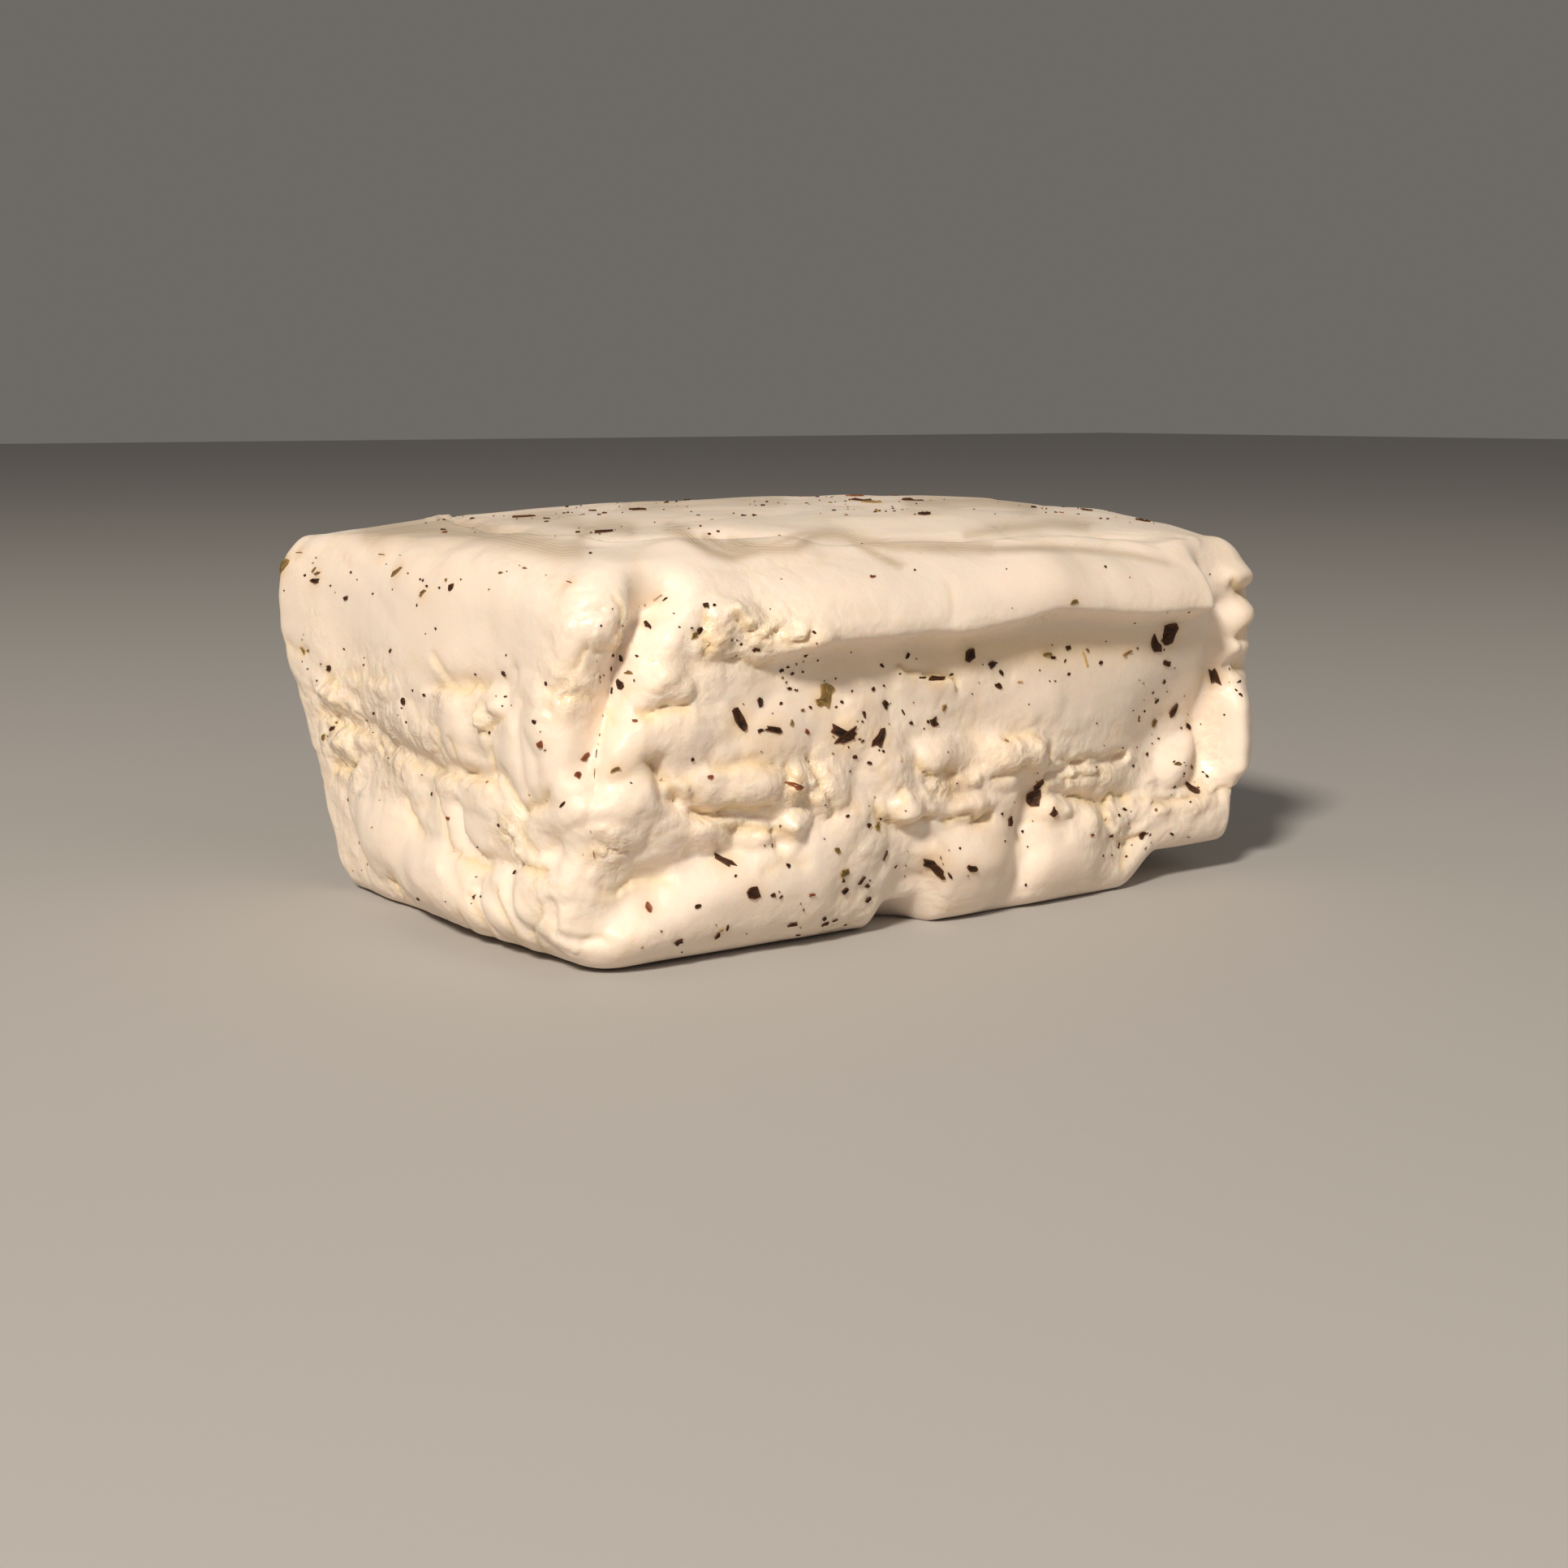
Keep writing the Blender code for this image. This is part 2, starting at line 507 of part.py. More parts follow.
def facet(block):
    # fewer, larger facets, kept small where the form bends most
    fewer = block.modifiers.new("facets", "DECIMATE")
    fewer.decimate_type = "COLLAPSE"
    fewer.ratio = FACET_SHARE
    fewer.use_collapse_triangulate = True
    apply_modifiers(block)
    edit = bmesh.new()
    edit.from_mesh(block.data)
    for vertex in edit.verts:
        if vertex.co.z < 0.06 * MM:
            vertex.co.z = 0.0
    bmesh.ops.dissolve_degenerate(edit, edges=edit.edges, dist=0.00002)
    bmesh.ops.triangulate(edit, faces=edit.faces)
    edit.to_mesh(block.data)
    edit.free()


def flake_spots():
    # the flakes that show, then others spread over the top and the faces behind
    spots = list(FLAKES)
    draw = np.random.default_rng(SEED + 5)
    for number in range(HIDDEN_FLAKES):
        face = ("top", "back", "right", "back", "top")[number % 5]
        reach = {"top": 38.0, "back": 40.0, "right": 26.0}[face]
        across = reach * (2.0 * ((number * 0.618) % 1.0) - 1.0)
        up = draw.uniform(-24.0, 28.0) if face == "top" else draw.uniform(8.0, 33.0)
        length = draw.uniform(1.3, 3.0)
        spots.append((face, across, up, length, length * draw.uniform(0.45, 0.8), draw.uniform(0, 180)))
    return spots


def place_flake(tree, spot, draw, collection, number):
    face, across, up, length, width, turn = spot
    if face == "top":
        start = Vector((across, up, 80.0)) * MM
        aim = Vector((0, 0, -1))
        sideways = Vector((1, 0, 0))
    else:
        sideways, outward = FACES[face]
        start = (sideways * across + outward * 90.0 + Vector((0, 0, up))) * MM
        aim = -outward
    spot_on, normal, index, distance = tree.ray_cast(start, aim)
    if spot_on is None:
        return None
    wide = sideways - normal * sideways.dot(normal)
    wide.normalize()
    high = normal.cross(wide)
    sides = 7
    plate = bmesh.new()
    bmesh.ops.create_cone(plate, cap_ends=True, segments=sides, radius1=0.5, radius2=0.42,
                          depth=FLAKE_THICKNESS)
    stretch = [draw.uniform(0.72, 1.12) for side in range(sides)]
    angle = math.radians(turn)
    frame = Matrix((wide, high, normal)).transposed()
    for vertex in plate.verts:
        corner = int(round(math.atan2(vertex.co.y, vertex.co.x) / (2 * math.pi / sides))) % sides
        along = vertex.co.x * length * stretch[corner]
        beside = vertex.co.y * width * stretch[corner]
        turned_x = along * math.cos(angle) - beside * math.sin(angle)
        turned_y = along * math.sin(angle) + beside * math.cos(angle)
        height = vertex.co.z + FLAKE_PROUD - FLAKE_THICKNESS / 2
        vertex.co = spot_on + frame @ Vector((turned_x, turned_y, height)) * MM
    bmesh.ops.recalc_face_normals(plate, faces=plate.faces)
    mesh = bpy.data.meshes.new("flake")
    plate.to_mesh(mesh)
    plate.free()
    flake = bpy.data.objects.new("flake_%02d" % number, mesh)
    flake.display_type = "WIRE"
    flake.hide_render = True
    collection.objects.link(flake)
    return flake


def add_flakes(block, collection):
    edit = bmesh.new()
    edit.from_mesh(block.data)
    tree = BVHTree.FromBMesh(edit)
    edit.free()
    draw = np.random.default_rng(SEED + 6)
    for number, spot in enumerate(flake_spots()):
        place_flake(tree, spot, draw, collection, number)
    union = block.modifiers.new("flakes", "BOOLEAN")
    union.operation = "UNION"
    union.operand_type = "COLLECTION"
    union.collection = collection
    union.solver = "EXACT"
    apply_modifiers(block)
    for flake in list(collection.objects):
        bpy.data.objects.remove(flake, do_unlink=True)


def main():
    remove_everything()
    parts = bpy.data.collections.new("halloumi")
    toppings = bpy.data.collections.new("mint_flakes")
    bpy.context.scene.collection.children.link(parts)
    bpy.context.scene.collection.children.link(toppings)
    block = build_block(parts)
    facet(block)
    add_flakes(block, toppings)
    block.data.materials.clear()
    block.data.materials.append(new_material("cheese", (0.86, 0.75, 0.56), 0.5))


main()
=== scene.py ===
import math
import bpy
import numpy as np
from mathutils import Matrix, Vector


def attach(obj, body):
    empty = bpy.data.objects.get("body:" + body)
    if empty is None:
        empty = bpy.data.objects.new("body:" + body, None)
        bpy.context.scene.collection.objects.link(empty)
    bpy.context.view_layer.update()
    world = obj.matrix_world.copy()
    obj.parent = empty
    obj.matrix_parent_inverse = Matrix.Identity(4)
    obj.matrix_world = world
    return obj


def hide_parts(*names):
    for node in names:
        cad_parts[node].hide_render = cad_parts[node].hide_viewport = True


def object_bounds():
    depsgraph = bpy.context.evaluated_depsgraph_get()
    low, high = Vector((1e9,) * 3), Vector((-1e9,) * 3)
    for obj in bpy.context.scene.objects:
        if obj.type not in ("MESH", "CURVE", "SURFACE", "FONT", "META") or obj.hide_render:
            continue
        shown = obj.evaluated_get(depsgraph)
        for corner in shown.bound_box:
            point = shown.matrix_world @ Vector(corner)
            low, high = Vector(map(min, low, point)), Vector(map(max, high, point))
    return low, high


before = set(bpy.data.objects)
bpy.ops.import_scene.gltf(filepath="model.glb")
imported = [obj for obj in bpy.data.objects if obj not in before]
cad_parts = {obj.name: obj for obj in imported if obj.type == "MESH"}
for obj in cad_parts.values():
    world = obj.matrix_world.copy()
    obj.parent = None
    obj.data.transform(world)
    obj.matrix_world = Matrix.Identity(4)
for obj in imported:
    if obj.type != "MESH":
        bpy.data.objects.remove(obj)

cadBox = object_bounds()
mm = 0.001
cadLow, cadHigh = (np.array(corner) / mm for corner in cadBox)
print("stage: frame loaded")


# numbers that vary smoothly, for places given as arrays

def ease(low, high, value):
    # 0 below low, 1 above high, and a smooth S between them
    share = np.clip((value - low) / (high - low), 0.0, 1.0)
    return share * share * (3.0 - 2.0 * share)


latticeSide = 32
lattice = np.random.default_rng(47).random((latticeSide, latticeSide, latticeSide))
slopes = np.random.default_rng(48).normal(size=(latticeSide, latticeSide, latticeSide, 3))
slopes /= np.linalg.norm(slopes, axis=3)[..., None]
jitter = np.random.default_rng(49).random((latticeSide, latticeSide, latticeSide, 3))


def cornersOf(cells, shares):
    # the eight lattice points round each place: the steps to each, its weight there and its lattice index
    for corner in range(8):
        steps = (corner & 1, (corner >> 1) & 1, (corner >> 2) & 1)
        weight = np.ones_like(shares[0])
        for step, share in zip(steps, shares):
            weight = weight * (share if step else 1.0 - share)
        yield steps, weight, tuple((cell + step) % latticeSide for cell, step in zip(cells, steps))


def wander(x, y, z, size, layer):
    # random values on a lattice, blended between the nearest eight, -1 to 1
    places = [values / size + layer * 5.37 for values in (x, y, z)]
    cells = [np.floor(place).astype(int) for place in places]
    shares = [ease(0.0, 1.0, place - cell) for place, cell in zip(places, cells)]
    total = np.zeros_like(x)
    for steps, weight, index in cornersOf(cells, shares):
        total += weight * lattice[index]
    return total * 2.0 - 1.0


def ripple(x, y, z, size, layer):
    # a random slope at each lattice point, its height read at the place and blended, about -1 to 1
    places = [values / size + layer * 3.71 for values in (x, y, z)]
    cells = [np.floor(place).astype(int) for place in places]
    parts = [place - cell for place, cell in zip(places, cells)]
    shares = [part ** 3 * (part * (part * 6.0 - 15.0) + 10.0) for part in parts]
    total = np.zeros_like(x)
    for steps, weight, index in cornersOf(cells, shares):
        slope = slopes[index]
        total += weight * sum(slope[:, axis] * (parts[axis] - steps[axis]) for axis in range(3))
    return total * 1.6


def chips(x, y, z, wide, tall):
    # broken curd: one random point in each cell, and each place takes the height and the slope of its
    # nearest point; the second value is 0 on the borders between two points and 1 well inside
    places = np.stack((x / wide, y / wide, z / tall), axis=1)
    cells = np.floor(places).astype(int)
    nearest = np.full(len(x), 9.0)
    second = np.full(len(x), 9.0)
    height = np.zeros(len(x))
    for number in range(27):
        step = np.array((number % 3 - 1, (number // 3) % 3 - 1, number // 9 - 1))
        index = tuple(((cells + step) % latticeSide).T)
        spot = jitter[index]
        away = places - (cells + step + spot)
        gap = (away ** 2).sum(axis=1)
        own = spot[:, 0] - 0.5 + (away * slopes[index]).sum(axis=1)
        second = np.minimum(second, np.maximum(nearest, gap))
        height = np.where(gap < nearest, own, height)
        nearest = np.minimum(nearest, gap)
    inside = ease(0.0, 0.3, np.sqrt(second) - np.sqrt(nearest))
    return height * inside - 0.45 * (1.0 - inside), inside


# where the tables' places lie

eye = (-151.86, -209.65, 55.0)  # where the photograph was taken from, in mm
readingPlanes = {"front": -33.9, "left": -48.0}
# for each face, the axis that runs across it and its sign, then the axis that points outward and its sign
faceAxes = {"front": (0, 1.0, 1, -1.0), "left": (1, -1.0, 0, -1.0), "back": (0, -1.0, 1, 1.0),
            "right": (1, 1.0, 0, 1.0), "top": (0, 1.0, 2, 1.0)}


def asRead(face, x, y, z):
    # across and up at which a place shows on the flat reading plane of its face, seen from the eye
    if face == "front":
        share = (readingPlanes["front"] - eye[1]) / (y - eye[1])
        return eye[0] + (x - eye[0]) * share, eye[2] + (z - eye[2]) * share
    if face == "left":
        share = (readingPlanes["left"] - eye[0]) / (x - eye[0])
        return -(eye[1] + (y - eye[1]) * share), eye[2] + (z - eye[2]) * share
    axis, sign = faceAxes[face][:2]
    return (x, y)[axis] * sign, y if face == "top" else z


# the block's form, in mm

blockForm = {
    "left": -46.4, "right": 48.2, "front": -33.2, "back": 35.6, "height": 40.0,
    "radii": (7.5, 4.5, 3.5, 7.0),  # corners: front left, front right, back left, back right
    "topRoll": 6.5, "bottomRoll": 4.5,
    "topHeights": (40.2, 39.6, 38.0, 41.2), "dome": 3.5, "domeY": 8.0, "domeReach": (62.0, 56.0),
    "frontDroop": 1.3, "cornerOut": 2.2, "frontRightTuck": 2.4,
    "archX": -6.5, "archWide": 4.6, "archDeep": 9.0, "archRise": 2.8,
    "foot": 0.75, "footFront": 0.4, "baseRight": 23.0, "baseLift": 3.6,
    "backUndercut": 0.42, "rightUndercut": 0.06,
    "lipReach": 3.8, "lipLeft": -33.0, "lipRight": 36.0, "lipHeight": 31.7,
    "underLipShade": (6.0, 31.7 - 3.2, 26.0, 2.0, 0.6),  # painted warm shade below the lip, put into the hollow mark: as a swell
    "lumpShare": 0.42, "lumpPower": 1.1, "shift": (-0.36, -0.16),
    "lobeShare": 0.15, "seamShare": 1.25, "curdShare": 0.6,
    "foldRise": 0.3, "foldSizes": (9.0, 4.6),
    "chipRise": 0.42, "coarseChip": (5.0, 3.0), "fineChip": (2.1, 1.5),
    "cell": 0.38, "triangles": 190000,
}
slabLow = (blockForm["left"], blockForm["front"], 0.0)
slabSize = (blockForm["right"] - blockForm["left"], blockForm["back"] - blockForm["front"],
            blockForm["height"])

# lumps: across, up, half width, half height, turn in degrees, height
frontLumps = [
    (-45.3, 34, 2.2, 3, 0, 0.9), (-38.5, 31.5, 4.5, 6.5, 20, 1.6), (-37, 28, 3.2, 2.4, 0, 2.2),
    (-34.8, 27.2, 1.8, 1.5, 0, 2), (-42.5, 22, 5, 4, 10, 1.8), (-36, 22.5, 6, 3.5, 0, 1.6),
    (-29.5, 34, 3.2, 2.2, -10, 1.8), (-27, 32.4, 2, 1.8, 0, 1.6), (-31.8, 31.2, 2.4, 1.6, 10, 1.9),
    (-24.2, 31.6, 2.2, 1.6, 0, 1.6), (-20.8, 31.9, 2.4, 1.8, 0, 1.5), (-29, 27.5, 5, 4, 0, 0.9),
    (-24, 21.5, 6, 4, 0, 1.3), (-41.5, 16.8, 6.5, 4.4, -15, 2), (-33, 19.2, 4.5, 3, 10, 1.7),
    (-27.5, 17.5, 4.2, 3, -10, 2.6), (-23.6, 17.2, 2.8, 2.4, 0, 2.9), (-18.5, 16.5, 2.8, 3.6, 10, 2.7),
    (-31, 12.7, 3.5, 1.9, -15, 1.8), (-26.5, 12.5, 2.4, 1.7, 0, 2), (-22.5, 13, 2.8, 1.9, 20, 2.5),
    (-34, 6.5, 15, 5.5, 0, 1.1), (-20, 6.6, 9.5, 6.5, 0, 2.4), (-15.5, 22.5, 6, 5, 20, 1.9),
    (-14.5, 10.5, 5, 5.5, -20, 2.7), (-8, 13, 2.6, 2.4, 0, 3.4), (-10.5, 18, 4.5, 4, 0, 2.2),
    (-3.5, 17.8, 3.5, 2.3, 0, 2.5), (5.5, 17, 4.8, 3.4, -15, 3.2), (9.8, 17.2, 3.2, 2.6, -20, 3),
    (1, 12.3, 3.6, 1.7, 0, 2.6), (1.2, 5.2, 6.8, 5.8, 0, 3.2), (15, 4.8, 9.6, 5.6, 8, 3.2),
    (13.8, 10, 2.8, 2, 20, 2.2), (19.5, 8.8, 3.2, 2.3, 10, 2.6), (24.5, 7.5, 2.8, 2.1, 0, 1.9),
    (36.2, 13, 4.8, 2.2, 48, 3.6), (31.5, 7.2, 5, 2.8, 0, 1.1), (38, 7.2, 4.5, 2.6, 10, 1.3),
    (45.4, 16, 4.4, 8.8, 0, 3.2), (43, 30.5, 3.8, 2.7, 0, 1.8), (43, 36, 3.8, 2.2, 0, 1.4),
    (42.5, 26.6, 2.2, 1.8, 0, 1.4),
]
leftLumps = [
    (9.5, 22, 3.9, 4.3, 0, 1.9), (14, 22.8, 2.7, 3.5, -10, 1.7), (17, 24, 2.3, 2.3, 0, 1.8),
    (21, 21, 3.5, 5.4, 10, 2), (25.5, 24.5, 3.7, 3.7, 0, 1.9), (29, 20, 4.2, 5.2, 0, 1.5),
    (14, 13.5, 6.3, 4.2, 15, 2), (5.5, 13, 4.2, 4.4, 0, 1.4), (1, 20.5, 6, 3, -20, 1),
    (-3.5, 15.5, 6, 2.8, -15, 1.2), (-10.5, 9.5, 10, 6, 15, 2.6), (-22, 22.3, 4.8, 2, -5, 1.8),
    (-23, 16.4, 3.8, 1.8, 0, 1.8), (-15.5, 17.8, 4.4, 1.8, 0, 1.5), (-15, 24.5, 3.2, 2.8, 0, 1),
    (-9, 25, 4.2, 3.2, 20, 0.9), (8, 5, 9.5, 4.8, 0, 2.4), (21, 5.5, 7.5, 4.6, 20, 2.5),
    (31, 4.6, 6, 3.2, 0, 2.2), (33, 9.5, 6, 3, 10, 1.8), (33, 15, 5.2, 3.6, -10, 1.5),
    (35, 22.5, 3.8, 5.2, 0, 1.4),
]
# spines of folds and curds: the bent line, half width, height
frontLobes = [
    ([(-39.2, 27.4), (-38.5, 28.2)], 1.9, 1.5), ([(-37.2, 28.8), (-36.5, 27.5)], 1.6, 1.4),
    ([(-35.3, 27.4), (-34.8, 27.6)], 0.9, 1.1), ([(-43.5, 22.3), (-36, 23), (-31, 23.4)], 2.7, 1.5),
    ([(-29.5, 22.6), (-22, 23.4)], 3, 1.1), ([(-32.2, 33.5), (-29.6, 34.4)], 1.4, 1.9),
    ([(-28.4, 33.8), (-27.6, 32)], 1.2, 1.8), ([(-31.7, 30.7), (-30.2, 30.3)], 0.9, 1.5),
    ([(-26.2, 32.1), (-24.6, 31.6)], 0.9, 1.6), ([(-24, 30.7), (-22.9, 31.2)], 0.8, 1.4),
    ([(-21.4, 32.2), (-20.1, 33.4)], 0.75, 1.3), ([(-27.2, 29.2), (-22, 29.7)], 1.3, 0.9),
    ([(-44.4, 15.6), (-40.4, 18.2)], 2, 1.8), ([(-41.5, 17), (-38.2, 19.6)], 1.5, 1.6),
    ([(-39.2, 16.8), (-37.4, 18.4)], 0.9, 1.7), ([(-34.2, 17.6), (-30, 18.1), (-25.6, 18.2)], 2.2, 2.1),
    ([(-31.4, 16.5), (-28.5, 16.3), (-25.6, 16.7)], 0.9, 1.9), ([(-24.6, 18.4), (-23.3, 17.5)], 1.1, 2.3),
    ([(-21.6, 15.8), (-19.8, 15.4), (-18.4, 15.9)], 0.9, 2.2), ([(-22.9, 16.3), (-22.2, 14.9)], 0.9, 2.1),
    ([(-37.6, 13.6), (-36.4, 12.7)], 2, 1.5), ([(-33.4, 12.9), (-31, 12.5)], 1.6, 1.4),
    ([(-29.2, 12.6), (-28, 12.3)], 1.2, 1.3), ([(-26.3, 12.4), (-25.4, 12.6)], 1.2, 1.4),
    ([(-24, 13.1), (-22, 11.8)], 1.5, 1.9), ([(-44, 3.6), (-38, 5)], 2.4, 0.9),
    ([(-34.5, 7.2), (-29, 7.4), (-24, 6.2)], 4.3, 2), ([(-16.5, 13.4), (-18.6, 9), (-21, 4)], 3.3, 2.3),
    ([(-18.5, 19.4), (-16, 16.4), (-13.8, 13.6)], 1.8, 1.9),
    ([(-14.5, 22.4), (-10, 18.8), (-8.5, 16.4)], 2.6, 1.9), ([(-8.8, 14.1), (-7, 11.6)], 1.9, 2.8),
    ([(-6.6, 14.7), (-5.4, 13.6)], 0.9, 2.7), ([(-6.2, 18.5), (0, 18.4)], 1.8, 1.9),
    ([(-5, 12.8), (-1, 12.4), (2.4, 12.2)], 1.4, 2.6), ([(0.4, 14.8), (2.4, 15.2), (4, 15.9)], 0.9, 2.2),
    ([(5.2, 18), (8, 17), (10.6, 15.8)], 2.1, 2.9), ([(7.6, 18.9), (11.9, 18.3)], 0.8, 2.1),
    ([(12.6, 15.9), (12.9, 15.2)], 0.7, 2.2), ([(-3.2, 5.2), (1, 6), (4.4, 6.8)], 4.2, 3),
    ([(-5, 2.6), (-1, 2.2), (2, 2.6)], 2.2, 2.6), ([(10.6, 3.2), (17.6, 4.6), (18.6, 8.2)], 3.4, 2.8),
    ([(12.3, 13.6), (12.9, 10.4)], 1.1, 2.3), ([(21.4, 2.9), (23, 2.4)], 1.2, 2.3),
    ([(20.3, 9), (22.4, 7.6)], 1, 1.9), ([(14.6, 14.8), (20, 14.3), (24.6, 14.9)], 0.6, 1.1),
    ([(15.6, 12.8), (20, 12.7), (24.2, 12.9)], 0.8, 1.1), ([(23, 16.6), (26, 16.8)], 0.9, 0.7),
    ([(28.2, 11.6), (32.6, 13.8), (35.4, 16.8)], 1.8, 1.9),
    ([(23.4, 8.6), (30, 8.4), (36.2, 8.2)], 1.3, 1.4), ([(27.5, 6.2), (34, 5.6), (39, 6.6)], 1.7, 1.2),
    ([(42.2, 19.6), (43.6, 16), (44.6, 12.6)], 2.7, 2.3), ([(38.2, 30.2), (44.8, 30.6)], 2, 1.8),
    ([(41.8, 35.6), (44.4, 35)], 1.7, 1.5), ([(42.8, 27), (45, 26.6)], 1.2, 1.3),
    ([(-45.6, 35), (-44.8, 33.4)], 1.6, 1), ([(-46.8, 38), (-44, 37.6)], 1.4, 0.8),
    ([(-7.6, 27.6), (-3, 25), (4, 23.8), (12, 22.6)], 2.6, 0.7),
]
leftLobes = [
    ([(8.4, 23.2), (9.6, 21.6), (11.6, 19.8)], 3.5, 2),
    ([(15.6, 23.8), (16.4, 22), (17.9, 20.2)], 1.3, 1.5), ([(17.8, 25.2), (20.4, 25.3)], 1.3, 1.6),
    ([(21.3, 22.2), (21.9, 18.8)], 2.8, 2.1), ([(26.6, 24), (27.4, 20.4)], 2.9, 2.1),
    ([(23.4, 27.2), (27, 27.7)], 1.9, 2), ([(31.4, 26), (36, 26.4)], 1.4, 1.3),
    ([(34.6, 23.4), (33.4, 18.2)], 3, 1.4), ([(9, 16.2), (14, 16.1), (18.4, 16)], 1.8, 1.9),
    ([(2.4, 13.6), (4.6, 10.9)], 1.8, 1.3), ([(-7.2, 19.1), (-4.4, 18.7)], 0.9, 1.2),
    ([(-0.6, 17.3), (1.2, 16.8)], 0.9, 1.1), ([(6.2, 17.9), (8, 17.9)], 0.7, 1.1),
    ([(-15.4, 11.4), (-12, 8.4), (0, 7.2), (8, 6)], 4.4, 2.7),
    ([(-25.6, 16.4), (-21, 16.6), (-16.4, 16)], 1.4, 2),
    ([(-23.2, 21.9), (-20, 21.4), (-17.8, 20.6)], 1.7, 1.9), ([(-15.8, 24.6), (-14.6, 21.6)], 1.4, 1.2),
    ([(-29, 23.4), (-27.6, 22.8)], 1.1, 1.1), ([(-12.6, 24), (-9.6, 20.4), (-5, 17.4)], 1.2, 0.6),
    ([(-6, 24.4), (-1, 20.2), (3.2, 18.6)], 1.6, 0.7), ([(12.4, 7.6), (16, 5.4), (19.4, 2.9)], 2.3, 1.9),
    ([(20.2, 8.6), (22.6, 5.4), (26.6, 3.2)], 2.1, 1.9), ([(7.4, 6.4), (11, 3.6), (14, 2.4)], 3, 1.9),
    ([(28, 4.7), (34.6, 4.8)], 1.5, 1.9), ([(27.6, 9.2), (32.6, 9.6)], 1.3, 1.4),
    ([(32.6, 12.6), (37.2, 13.9)], 1.1, 1.3), ([(20.8, 14.6), (22.4, 12.8), (24.4, 11.2)], 0.8, 1.4),
    ([(31.4, 32.6), (34.6, 31.6)], 1.4, 0.9), ([(35.8, 34.6), (37.8, 34.2)], 1.3, 1),
    ([(33.2, 28.6), (35.8, 29.2)], 1.2, 1), ([(20.6, 17.6), (22.2, 15.6)], 1.1, 1.3),
    ([(23.6, 18), (25.4, 16.4)], 1, 1.2), ([(11, 14.4), (12.8, 12.4), (16, 10.8)], 1.2, 0.6),
    ([(-9.6, 13.4), (-3, 14.2), (0.4, 15.2)], 1.6, 1.2),
]
# smooth stretches, where the small folds die out: across, up, half width, half height, share
frontSmooth = [
    (19, 25, 15, 5.6, 1), (-23, 24, 7, 3.6, 0.7), (-30, 7, 8, 3.6, 0.8), (-43, 7, 6, 3, 0.6),
    (1, 6, 5.5, 4, 0.8), (14, 5, 6, 3.6, 0.8), (-44, 22, 5, 3.6, 0.5), (43, 17, 4, 6, 1), (46, 31, 6, 6, 1),
    (31, 13.6, 3.5, 1.8, 0.7), (10, 36, 34, 4, 1), (-20, 8, 3.5, 4, 0.7), (-6, 25, 6, 3, 0.6),
]
leftSmooth = [
    (0, 33, 34, 6.5, 1), (-27, 28, 6, 5, 0.8), (-13, 9.5, 6, 4, 0.9), (0, 7, 9, 4, 0.8),
    (10, 21.5, 4, 3.5, 0.8), (24.5, 21, 5.5, 3.6, 0.8), (13, 12.2, 5, 2.4, 0.8), (20, 5, 6, 3, 0.6),
    (33, 20, 4, 4, 0.5),
]
# loose curds that lie on the lumps, round and small
frontCurds = [
    (-21.7, 18.3, 0.95, 0.85, 0, 0.9), (-20.4, 17.6, 0.9, 0.8, 0, 0.8), (-22.6, 16.4, 1.1, 0.9, 0, 0.8),
    (-22.8, 12.8, 0.8, 0.7, 0, 0.8), (-19, 15.3, 1.2, 0.9, 20, 0.7), (-29.3, 34.6, 1.3, 0.9, -20, 0.8),
    (-27.6, 33.4, 0.9, 0.8, 0, 0.8), (-30.9, 32.6, 1.1, 0.8, 30, 0.7), (-25, 32.6, 1.2, 0.8, 0, 0.6),
    (-23.2, 31.6, 1.2, 0.8, -20, 0.7), (-21.3, 32.4, 1, 0.9, 0, 0.7), (-33.2, 33.2, 1.3, 0.9, 10, 0.5),
    (1.6, 15.2, 1, 0.8, 0, 0.8), (12.7, 15.7, 0.8, 0.8, 0, 0.8), (10.9, 17.9, 1.2, 0.9, -20, 0.6),
    (6.8, 18.4, 1.6, 1, 10, 0.5), (-46.3, 13.4, 1.1, 0.6, 0, 0.7), (-44, 12.9, 1.2, 0.8, 30, 0.5),
    (16, 10.6, 1.3, 0.9, 20, 0.6), (21.5, 9.6, 1.5, 1, -10, 0.6), (24.8, 15.4, 1.4, 0.6, 10, 0.6),
    (23.5, 6.4, 0.9, 0.7, 0, 0.5), (30.6, 6.6, 1.4, 0.8, 0, 0.6), (37, 8.6, 1.4, 0.8, 20, 0.6),
    (-41.8, 29.6, 0.8, 0.6, 0, 0.7), (-45.2, 34.6, 1.5, 1.9, 0, 0.7), (-37.4, 29, 1.6, 1.2, 0, 0.5),
    (-5.4, 14.4, 1, 0.8, 0, 0.6), (-8.6, 14.3, 1.2, 0.9, 10, 0.6), (28.8, 12.4, 1.4, 0.8, 30, 0.5),
]
leftCurds = [
    (-23.5, 22.9, 2, 0.7, -5, 0.6), (-20.3, 21.6, 1.5, 0.8, 10, 0.6), (-17, 22.4, 1.2, 0.8, 0, 0.5),
    (-25.4, 17.4, 1.4, 0.7, 20, 0.6), (-20.6, 17.2, 1.8, 0.7, -8, 0.6), (-14.9, 19.9, 1.4, 0.6, 0, 0.4),
    (15.6, 23.4, 1.2, 1.3, 30, 0.6), (17.6, 22.9, 1, 0.8, 0, 0.5), (33.4, 28, 1.4, 0.9, 0, 0.6),
    (30.4, 27.6, 1.2, 0.8, 20, 0.5), (22, 13.4, 1, 0.8, 0, 0.6), (23.6, 11.9, 0.9, 0.6, 0, 0.5),
    (-2.6, 2.9, 1.6, 0.8, -30, 0.6), (35.6, 31.6, 1, 1.2, 0, 0.4), (33, 34.6, 1.2, 1, 0, 0.4),
]

